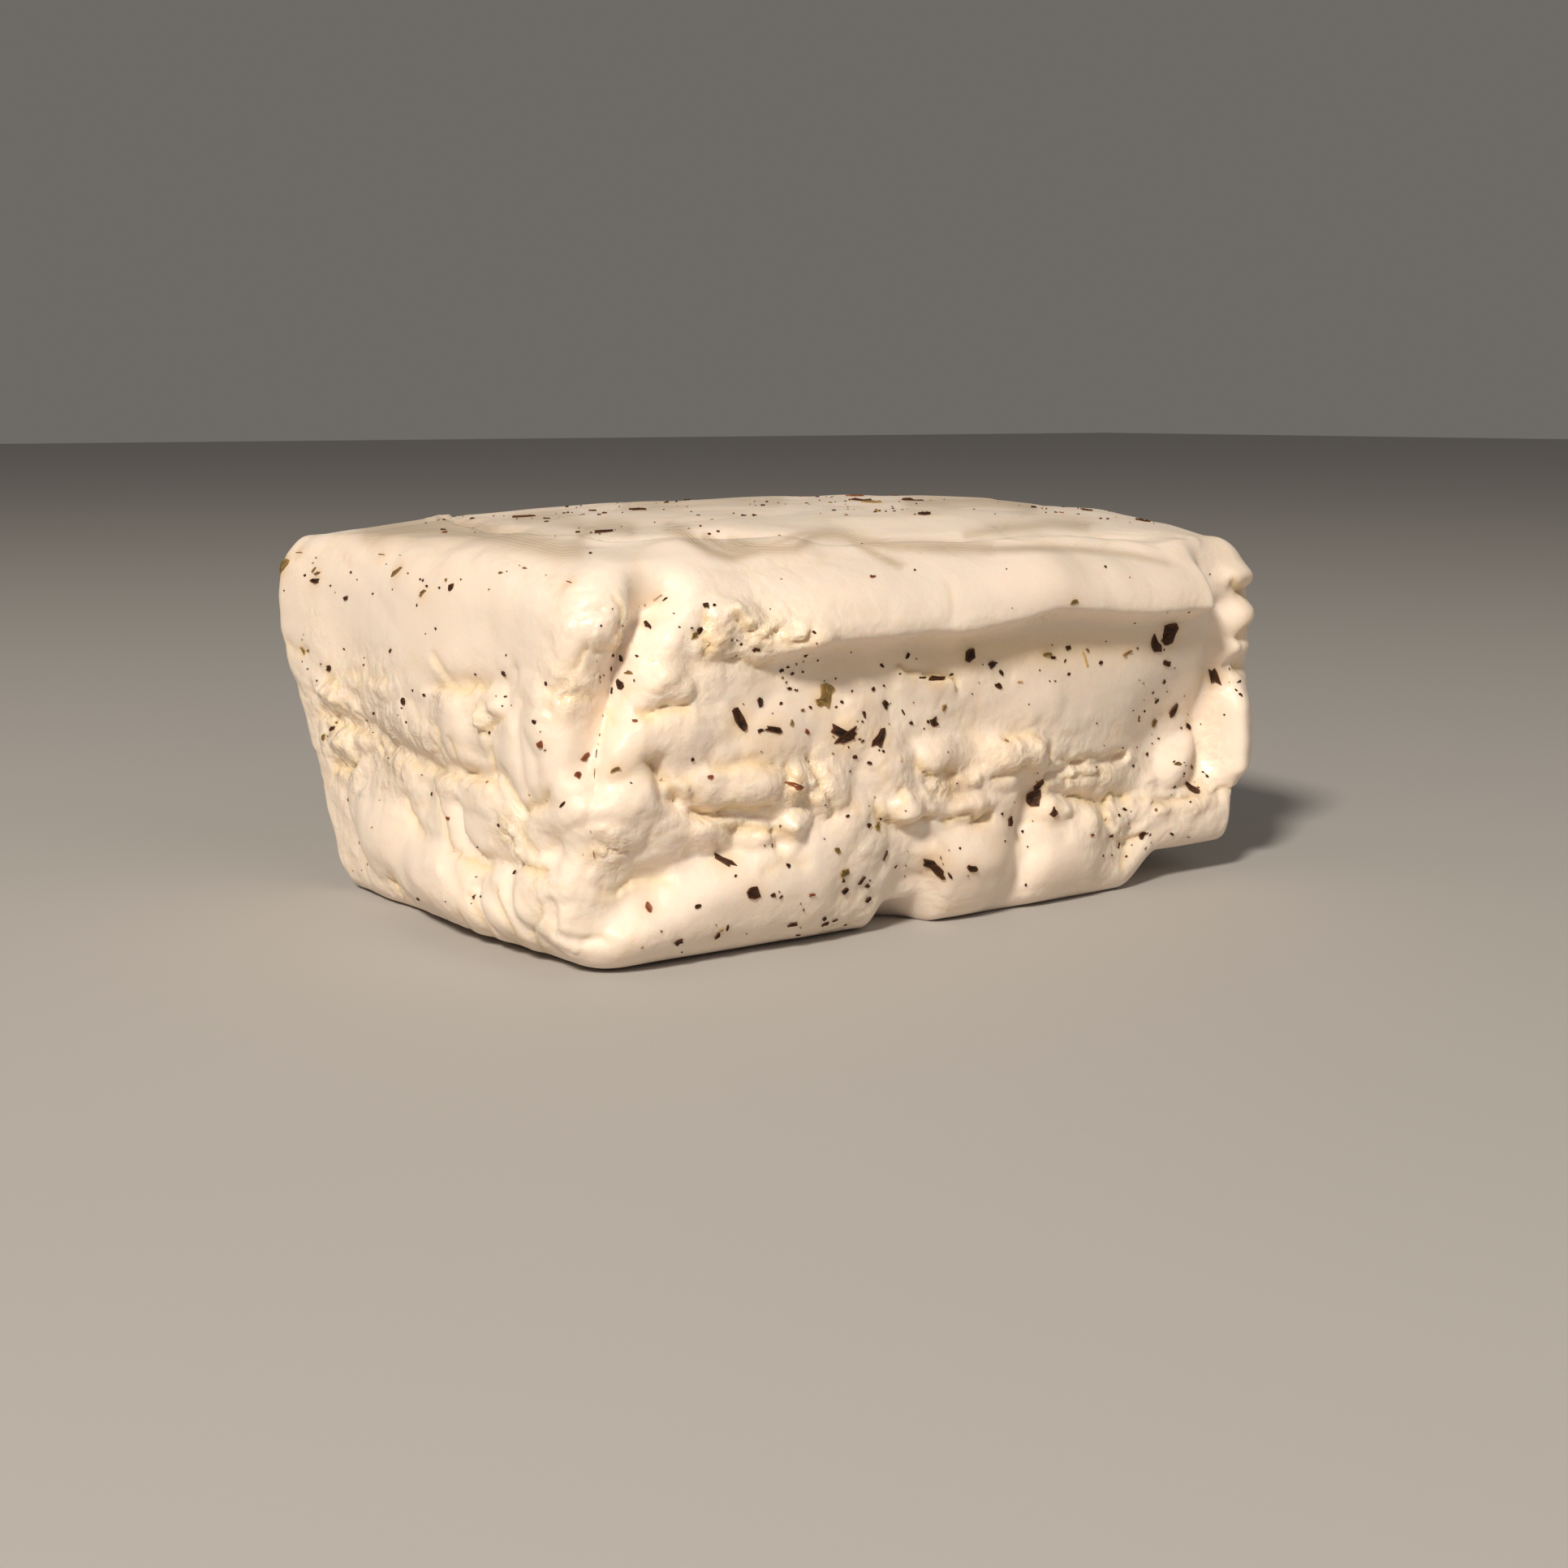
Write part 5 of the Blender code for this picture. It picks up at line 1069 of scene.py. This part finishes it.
darkFlakes = rowsOf({
    "front": [
        (31, 28.9, 2.8, 2, 60), (30.2, 28.2, 1.2, 0.9, 20), (28.5, 27.7, 2, 1.3, 130),
        (37.9, 23.6, 2.2, 1.1, 120), (31.3, 20, 1.5, 0.9, 75), (33.9, 18, 1.1, 0.6, 160),
        (34.2, 10.8, 1.8, 0.8, 125), (9.6, 12.3, 2.2, 1.6, 15), (10.6, 13.6, 1.8, 0.9, 65),
        (12.8, 10.3, 1.1, 0.6, 60), (6.3, 10.2, 1.5, 0.7, 20), (-4.4, 6.7, 3, 1, 170),
        (-3.8, 6.1, 1.9, 1, 10), (0.9, 5.7, 1.2, 0.7, 160), (26.3, 6.2, 0.9, 0.8, 90),
        (-16.2, 21.6, 2.8, 0.9, 155), (-16, 21.2, 2.6, 0.8, 30), (-11.7, 20.7, 2.2, 0.9, 45),
        (-10.9, 24.1, 0.9, 0.6, 130), (-4.5, 21.7, 1, 0.9, 20), (-4, 26.3, 2, 0.5, 175),
        (-5.9, 26.5, 0.9, 0.25, 170), (0.6, 28.4, 1.1, 1.1, 100), (3.8, 27.2, 0.9, 0.6, 10),
        (5.1, 26.3, 0.7, 0.4, 140), (4.7, 24.9, 0.9, 0.5, 160), (12.6, 27.4, 0.6, 0.35, 170),
        (-29.2, 24, 2.5, 0.9, 115), (-25.1, 22.8, 1.9, 0.5, 165), (-26.8, 22.8, 0.6, 0.4, 0),
        (-26.8, 25.6, 0.8, 0.6, 60), (-31.2, 10.5, 2.1, 0.7, 140), (-27.5, 6.8, 1.6, 1, 140),
        (-36.4, 3.3, 0.9, 0.8, 60), (-31.9, 3.2, 1, 0.4, 80), (-30.7, 3.9, 0.7, 0.25, 100),
        (-34.2, 6.4, 0.6, 0.35, 10), (-43, 28.6, 0.9, 0.9, 30), (-43.8, 28.1, 0.6, 0.4, 60),
        (-42.8, 31.1, 0.5, 0.5, 60), (-44, 30.2, 0.6, 0.3, 90), (-43.8, 31.4, 0.5, 0.35, 20),
        (-40, 34.1, 1.4, 0.6, 80), (-34, 33.2, 0.7, 0.55, 30), (-46.5, 24, 0.5, 0.4, 0),
        (-47.6, 20.4, 1, 0.45, 125), (-22.8, 3.1, 0.8, 0.5, 10), (-22.1, 1.7, 0.5, 0.35, 0),
        (-18.7, 2.5, 0.8, 0.5, 10), (-18.8, 3.1, 0.5, 0.4, 0), (-17.5, 2.7, 0.6, 0.3, 20),
        (-13.2, 4.3, 0.6, 0.6, 0), (-16.2, 5.6, 0.8, 0.5, 20), (-14, 6.4, 0.9, 0.4, 60),
        (-13.3, 5.7, 0.6, 0.4, 0), (-10.9, 8.5, 0.9, 0.45, 60), (-13.1, 11.9, 0.6, 0.45, 150),
        (-25.2, 6.3, 0.5, 0.4, 0), (-23.3, 9, 0.45, 0.35, 90), (-24.2, 28.6, 0.4, 0.35, 30),
        (-23.4, 28.9, 0.4, 0.3, 0), (-23.2, 26.7, 0.5, 0.35, 0), (-27.4, 30.9, 0.45, 0.4, 0),
        (-21.2, 29.9, 0.45, 0.45, 90), (-33.3, 35.6, 0.5, 0.45, 0), (-12.5, 25.8, 0.45, 0.4, 60),
        (-13.7, 23.3, 0.8, 0.3, 105), (-8.5, 23.1, 0.6, 0.25, 120), (-7.5, 21.9, 0.45, 0.35, 0),
        (-13, 18.3, 0.45, 0.35, 150), (-14.9, 19.1, 0.4, 0.35, 0), (-11.4, 28.2, 0.5, 0.3, 120),
        (-7.9, 28.9, 0.7, 0.3, 60), (30.4, 25.5, 1.1, 0.6, 160), (29.9, 23.4, 0.6, 0.45, 90),
        (28.8, 21.3, 0.6, 0.4, 30), (26.9, 20.3, 0.4, 0.25, 120), (27.2, 15.4, 0.5, 0.3, 50),
        (31.8, 11.2, 0.5, 0.35, 0), (33.2, 12.6, 0.4, 0.3, 90), (23.6, 9.5, 0.6, 0.3, 140),
        (21.5, 6.8, 0.45, 0.35, 10), (22.7, 5.6, 0.6, 0.3, 50), (31.2, 5.8, 0.9, 0.35, 140),
        (34, 4.9, 0.5, 0.25, 0), (8.2, 8.8, 0.35, 0.3, 90), (-2.1, 5.3, 0.7, 0.3, 160),
        (-47.4, 13.1, 0.9, 0.4, 175), (42.5, 22.5, 0.8, 0.25, 10), (14.9, 28.3, 0.7, 0.4, 10),
        (19.9, 26.3, 0.5, 0.35, 0), (15, 25.4, 0.4, 0.35, 0), (-37.9, 36.5, 0.5, 0.35, 20),
    ],
    "left": [
        (-20.8, 25.2, 1, 0.6, 15), (-19.9, 18.4, 1.2, 0.5, 20), (-1.8, 23.5, 0.9, 0.5, 150),
        (9.1, 36.4, 0.8, 0.6, 20), (20.2, 28.7, 0.7, 0.5, 0), (26.3, 24.6, 0.6, 0.4, 10),
        (-4.9, 28.6, 0.5, 0.3, 30), (-6.9, 39.6, 1.3, 0.4, 15), (-9, 21.4, 0.4, 0.25, 0),
        (-16.1, 33.5, 0.8, 0.4, 10), (-24.5, 34.9, 1.7, 0.5, 0), (1.7, 3.1, 0.5, 0.35, 20),
        (14.5, 5.6, 0.7, 0.25, 40), (4.8, 14.6, 0.35, 0.25, 90), (31.6, 17.4, 0.9, 0.3, 35),
        (36.8, 13.7, 1.2, 0.4, 10),
    ],
})
oliveFlakes = rowsOf({
    "front": [
        (-18.6, 25.6, 1.9, 1.3, 80), (-19, 25.1, 2.2, 0.7, 15), (-18.2, 26.2, 1, 0.8, 30),
        (-34.6, 32.7, 0.8, 0.5, 50), (-38.8, 37.4, 1, 0.35, 5), (-42, 29.6, 0.8, 0.45, 10),
        (-43.6, 20.6, 1.2, 0.35, 20), (-3, 23.1, 0.7, 0.5, 90), (-22.9, 23.2, 0.6, 0.4, 60),
        (-16.2, 7.4, 1.1, 0.7, 10), (-17.1, 9.8, 0.8, 0.4, 140), (-12, 11.7, 0.9, 0.5, 40),
        (24, 27.1, 1.2, 0.35, 15), (28.3, 18.9, 0.8, 0.7, 60), (32.2, 13.8, 0.9, 0.35, 0),
        (15.9, 33.3, 1, 0.45, 10), (26, 19.5, 0.7, 0.2, 110), (-21.6, 24.4, 0.4, 0.3, 0),
        (11.8, 27.8, 1.1, 0.45, 0), (34.7, 13.1, 0.6, 0.25, 90), (17.9, 27.8, 0.6, 0.25, 130),
    ],
    "left": [
        (-33.8, 36, 3, 1.3, 30), (-27.7, 26.6, 1, 0.5, 110), (-26.2, 26.7, 0.9, 0.3, 10),
        (-24.6, 36.2, 0.9, 0.35, 60), (-23.8, 35.8, 1.2, 0.3, 10), (-3.4, 37.2, 1.9, 0.5, 30),
        (2.8, 35.4, 1.2, 0.35, 35), (-22.3, 17.1, 0.9, 0.3, 40), (-15.9, 11, 0.5, 0.3, 20),
        (24.5, 39.2, 0.8, 0.4, 30), (19.8, 38.5, 0.6, 0.3, 20), (-29, 38.1, 1.6, 0.4, 5),
    ],
})
rustyFlakes = rowsOf({
    "front": [
        (-39.9, 7.1, 1.2, 0.5, 90), (-32.7, 18.8, 0.55, 0.4, 0), (-46.7, 22.2, 0.8, 0.6, 40),
        (-21, 22.2, 0.6, 0.4, 150), (-22, 16.7, 1.9, 0.5, 150), (-41.4, 25, 0.5, 0.3, 0),
        (-12.6, 37.4, 0.6, 0.35, 10), (18.6, 7.2, 0.5, 0.25, 10), (-20.3, 5.7, 0.8, 0.25, 0),
    ],
    "left": [
        (32.8, 39.8, 1.3, 0.4, 0), (27.5, 22.6, 0.8, 0.6, 30), (8.4, 12.6, 0.5, 0.35, 0),
        (35.8, 22.5, 0.9, 0.6, 20), (34.4, 20.6, 0.9, 0.5, 160),
    ],
})
strawFlakes = rowsOf({
    "front": [
        (17.5, 26.9, 1.6, 0.22, 110), (7.7, 25.1, 0.7, 0.15, 0), (-8.8, 18.3, 0.5, 0.15, 60),
    ],
})
flakeForm = {
    "thick": 0.16, "sunk": 0.3, "rough": 0.4, "curl": 0.1, "spread": 1.12,
    "hidden": 150, "specks": 520, "speckSize": (0.16, 0.42),
}


def byFace(rows):
    # the rows of each face in turn, as an array
    for face in ("front", "left", "back", "right", "top"):
        chosen = [row[1:] for row in rows if row[0] == face]
        if chosen:
            yield face, np.array(chosen, float)


def flakeMesh(rows, seed, sides, rings):
    # each flake is a ragged leaf bit that follows the surface: rings of points round a middle point,
    # once above the surface and once below it, closed by a rim
    draw = np.random.default_rng(seed)
    allPoints, allQuads, allTriangles, allEdges, first = [], [], [], [], 0
    angle = np.linspace(0.0, 2.0 * np.pi, sides, endpoint=False)
    here = np.arange(sides)
    after = (here + 1) % sides
    last = 1 + (len(rings) - 1) * sides
    for face, values in byFace(rows):
        count = len(values)
        across, up, length, width, turn = values.T
        length, width = length * flakeForm["spread"], width * flakeForm["spread"]
        across, up = onFace(face, across, up)
        ragged = 1.0 + flakeForm["rough"] * draw.uniform(-1.0, 0.7, (count, sides))
        radius = ragged * (1.0 / np.maximum(np.abs(np.cos(angle)), np.abs(np.sin(angle))) ** 0.45)
        localX, localY, edge = [np.zeros((count, 1))], [np.zeros((count, 1))], [np.zeros((count, 1))]
        for share in rings:
            localX.append(radius * np.cos(angle) * share * length[:, None] / 2.0)
            localY.append(radius * np.sin(angle) * share * width[:, None] / 2.0)
            edge.append(np.full((count, sides), share))
        localX, localY, edge = (np.concatenate(part, axis=1) for part in (localX, localY, edge))
        turned = np.radians(turn)[:, None]
        outward, stretch = surfaceAt(face, across, up)[1:]
        placeX = across[:, None] + (localX * np.cos(turned) - localY * np.sin(turned)) / stretch[:, :1]
        placeY = up[:, None] + (localX * np.sin(turned) + localY * np.cos(turned)) / stretch[:, 1:]
        spot, normal = surfaceAt(face, placeX.ravel(), placeY.ravel())[:2]
        each = localX.shape[1]
        # the plate's own direction counts for more than each point's, so that it stays nearly flat
        normal = unit((normal.reshape(count, each, 3) + 2.0 * outward[:, None, :]).reshape(-1, 3))
        size = np.minimum(1.0, np.sqrt(length * width))
        uneven = 1.0 + 0.5 * draw.uniform(-1, 1, (count, each))
        lift = flakeForm["thick"] * (0.5 + 0.5 * size)[:, None] * uneven
        curl = flakeForm["curl"] * size[:, None] * edge ** 2 * draw.uniform(-0.6, 1.0, (count, each))
        upper = spot + normal * (lift + curl).reshape(-1, 1)
        lower = spot - normal * flakeForm["sunk"]
        block = np.arange(count)[:, None, None] * (2 * each) + first
        points = np.concatenate((upper.reshape(count, each, 3), lower.reshape(count, each, 3)), axis=1)
        allPoints.append(points.reshape(-1, 3))
        allEdges.append(np.concatenate((edge, edge), axis=1).ravel())
        for shell, flip in ((0, 1), (each, -1)):
            fan = np.stack((np.zeros(sides, int), 1 + here, 1 + after), axis=1) + shell
            allTriangles.append((block + fan[:, ::flip]).reshape(-1, 3))
            for inner in range(1, last, sides):
                outer = inner + sides
                band = np.stack((inner + here, outer + here, outer + after, inner + after), axis=1) + shell
                allQuads.append((block + band[:, ::flip]).reshape(-1, 4))
        rim = np.stack((last + here, each + last + here, each + last + after, last + after), axis=1)
        allQuads.append((block + rim).reshape(-1, 4))
        first += count * 2 * each
    faces = [np.concatenate(allQuads), np.concatenate(allTriangles)]
    return np.concatenate(allPoints), faces, np.concatenate(allEdges)


def hiddenRows(count, seed):
    # flakes for the faces away from the camera and the top, evenly spread, a few larger than the rest
    draw = np.random.default_rng(seed)
    rows = []
    reach = {"top": (40.0, -24.0, 30.0), "back": (42.0, 3.0, 38.0), "right": (29.0, 3.0, 37.0)}
    for number in range(count):
        face = ("back", "right", "top", "back", "right", "back", "top")[number % 7]
        wide, low, high = reach[face]
        length = 0.45 + 2.2 * draw.random() ** 3.2
        rows.append((face, wide * (2.0 * ((number * 0.618034) % 1.0) - 1.0), draw.uniform(low, high),
                     length, length * draw.uniform(0.35, 0.85), draw.uniform(0.0, 180.0)))
    return rows


def speckRows(count, seed, near):
    # dust of crumbled leaf: two thirds of it gathers round the larger flakes
    draw = np.random.default_rng(seed)
    small, large = flakeForm["speckSize"]
    rows = []
    for number in range(count):
        length = small + (large - small) * draw.random() ** 2
        if number % 3:
            face, across, up = near[draw.integers(len(near))][:3]
            across, up = across + draw.normal() * 2.2, up + draw.normal() * 1.6
        else:
            face = ("front", "left", "top", "back", "right")[number // 3 % 5]
            wide = 30.0 if face in ("left", "right") else 43.0
            across = draw.uniform(-wide, wide)
            up = draw.uniform(-26.0, 30.0) if face == "top" else draw.uniform(1.5, 38.0)
        rows.append((face, across, up, length, length * draw.uniform(0.4, 1.0), draw.uniform(0.0, 180.0)))
    return rows


hidden = hiddenRows(flakeForm["hidden"], 71)
# stained curd: across, up, size, share
stainPatches = [
    (-16, 14.2, 1.4, 0.5), (-26.5, 22, 3.4, 0.4), (-2, 15, 2.2, 0.8), (3.6, 7.6, 2.4, 0.3),
    (-32.2, 31.8, 1.6, 0.6), (-22.2, 31.8, 1.2, 0.5), (-13, 24.4, 2.4, 0.2), (0.6, 28.6, 1.6, 0.4),
]


def stainAt(points):
    # how strongly the cheese has taken up the leaves' colour: by distance from each large flake, and in the
    # stained patches of the front
    total = np.zeros(len(points))
    large = [row for row in darkFlakes + oliveFlakes + rustyFlakes + hidden if row[3] > 0.9]
    for face, values in byFace(large):
        spots = surfaceAt(face, *onFace(face, values[:, 0], values[:, 1]))[0]
        for spot, length in zip(spots, values[:, 2]):
            gap = ((points - spot) ** 2).sum(axis=1)
            strength = min(1.0, 0.35 + 0.25 * length)
            total = np.maximum(total, strength * np.exp(-gap / (0.55 * length + 0.3) ** 2))
    for across, up, size, share in stainPatches:
        gap = (points[:, 0] - across) ** 2 + (points[:, 2] - up) ** 2
        total = np.maximum(total, share * np.exp(-gap / size ** 2) * (points[:, 1] < -20.0))
    return total


# the block

def makeBlock():
    # the whole surface at once, from a cube's skin of even cells
    shares, quads = cubeSkin([round(size / blockForm["cell"]) for size in slabSize])
    points, marks = shapedBlock(*shares.T)
    block = newPiece("halloumiBlock", points, quads, cheese, True, {**marks, "stain": stainAt(points)})
    # flat stretches keep fewer triangles than folded ones
    fewer = block.modifiers.new("fewer", "DECIMATE")
    fewer.ratio = min(1.0, blockForm["triangles"] / (2.0 * len(quads)))
    graph = bpy.context.evaluated_depsgraph_get()
    finished = bpy.data.meshes.new_from_object(block.evaluated_get(graph))
    block.modifiers.clear()
    block.data = finished
    print("block:", len(quads) * 2, "triangles before,", len(finished.polygons), "after")
    return block


block = makeBlock()
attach(block, "root")
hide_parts("halloumi")
print("stage: block made")

# dried leaves and stalks: the darker tone, the lighter tone, roughness
leafLooks = {
    "driedMintDark": ((0.006, 0.0035, 0.0015), (0.08, 0.024, 0.005), 0.62),
    "driedMintOlive": ((0.10, 0.055, 0.015), (0.30, 0.19, 0.06), 0.5),
    "driedStalkRusty": ((0.11, 0.025, 0.010), (0.28, 0.09, 0.03), 0.5),
    "driedStalkStraw": ((0.45, 0.28, 0.10), (0.62, 0.42, 0.18), 0.5),
}
leafDark, leafOlive, leafRusty, leafStraw = (leafMaterial(name, *look) for name, look in leafLooks.items())


def hiddenPick(*remainders):
    # the hidden flakes are shared out by their numbers, so that one in nine is olive and one in nine rusty
    return [row for number, row in enumerate(hidden) if number % 9 in remainders]


specks = speckRows(flakeForm["specks"], 85, darkFlakes + oliveFlakes + hidden)
# name, rows, material, seed, sides of the outline and the shares of the way out at which its rings lie
kinds = [
    ("darkMint", darkFlakes + hiddenPick(0, 1, 2, 4, 5, 6, 8), leafDark, 81, 9, (0.5, 1.0)),
    ("oliveMint", oliveFlakes + hiddenPick(3), leafOlive, 82, 9, (0.5, 1.0)),
    ("rustyStalks", rustyFlakes + hiddenPick(7), leafRusty, 83, 8, (1.0,)),
    ("strawStalks", strawFlakes, leafStraw, 84, 8, (1.0,)),
    ("mintSpecks", specks, leafDark, 86, 6, (1.0,)),
    ("oliveSpecks", speckRows(flakeForm["specks"] // 3, 87, darkFlakes + hidden), leafOlive, 88, 6, (1.0,)),
]
for name, rows, material, seed, sides, rings in kinds:
    points, faces, edge = flakeMesh(rows, seed, sides, rings)
    piece = newPiece(name, np.clip(points, cadLow, cadHigh), faces, material, False, {"edge": edge})
    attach(piece, "root")
    print("flakes:", name, len(rows))


# floor, light and camera

studio = {
    "floorColour": (0.48, 0.455, 0.43), "skyColour": (1.0, 0.94, 0.86), "skyStrength": 0.155,
    "keyPlace": (-0.70, -0.48, 0.67), "keySize": 0.17, "keyPower": 11.3, "keyColour": (1.0, 0.93, 0.83),
    "fillPlace": (0.10, -0.60, 0.40), "fillSize": 0.6, "fillPower": 0.45, "fillColour": (1.0, 0.97, 0.93),
    "aim": (0.0, 0.0, 0.02), "floorReach": 3000.0,
    "cameraPlace": (-0.15186, -0.20965, 0.055), "cameraTurn": 53.929, "lens": 49.994, "shift": -0.2412,
}


def addFloor():
    material, tree, shader = newMaterial("paleFloor")
    shader.inputs["Base Color"].default_value = (*studio["floorColour"], 1.0)
    shader.inputs["Roughness"].default_value = 0.75
    corners = np.array([(-1, -1, 0), (1, -1, 0), (1, 1, 0), (-1, 1, 0)]) * studio["floorReach"]
    floor = newPiece("floor", corners, np.array([(0, 1, 2, 3)]), material, False)


def addLight(name):
    # a soft round lamp that points at the middle of the block
    light = bpy.data.lights.new(name, "AREA")
    light.shape = "DISK"
    light.size = studio[name + "Size"]
    light.energy = studio[name + "Power"]
    light.color = studio[name + "Colour"]
    place = Vector(studio[name + "Place"])
    lamp = bpy.data.objects.new(name, light)
    lamp.location = place
    lamp.rotation_euler = (Vector(studio["aim"]) - place).to_track_quat("-Z", "Y").to_euler()
    bpy.context.scene.collection.objects.link(lamp)


def addCamera():
    # a level camera; its vertical shift gives the photograph's framing
    camera = bpy.data.cameras.new("camera")
    camera.lens = studio["lens"]
    camera.sensor_width = 36.0
    camera.clip_start = 0.01
    camera.shift_y = studio["shift"]
    viewer = bpy.data.objects.new("camera", camera)
    turn = math.radians(studio["cameraTurn"])
    ahead = Vector((math.cos(turn), math.sin(turn), 0.0))
    right = Vector((math.sin(turn), -math.cos(turn), 0.0))
    place = Matrix((right, right.cross(ahead), -ahead)).transposed().to_4x4()
    place.translation = Vector(studio["cameraPlace"])
    viewer.matrix_world = place
    bpy.context.scene.collection.objects.link(viewer)
    bpy.context.scene.camera = viewer


addFloor()
addLight("key")
addLight("fill")
world = bpy.data.worlds.new("studio")
world.use_nodes = True
background = world.node_tree.nodes["Background"]
background.inputs["Color"].default_value = (*studio["skyColour"], 1.0)
background.inputs["Strength"].default_value = studio["skyStrength"]
bpy.context.scene.world = world
bpy.context.scene.view_settings.view_transform = "Standard"
addCamera()
print("stage: studio ready")
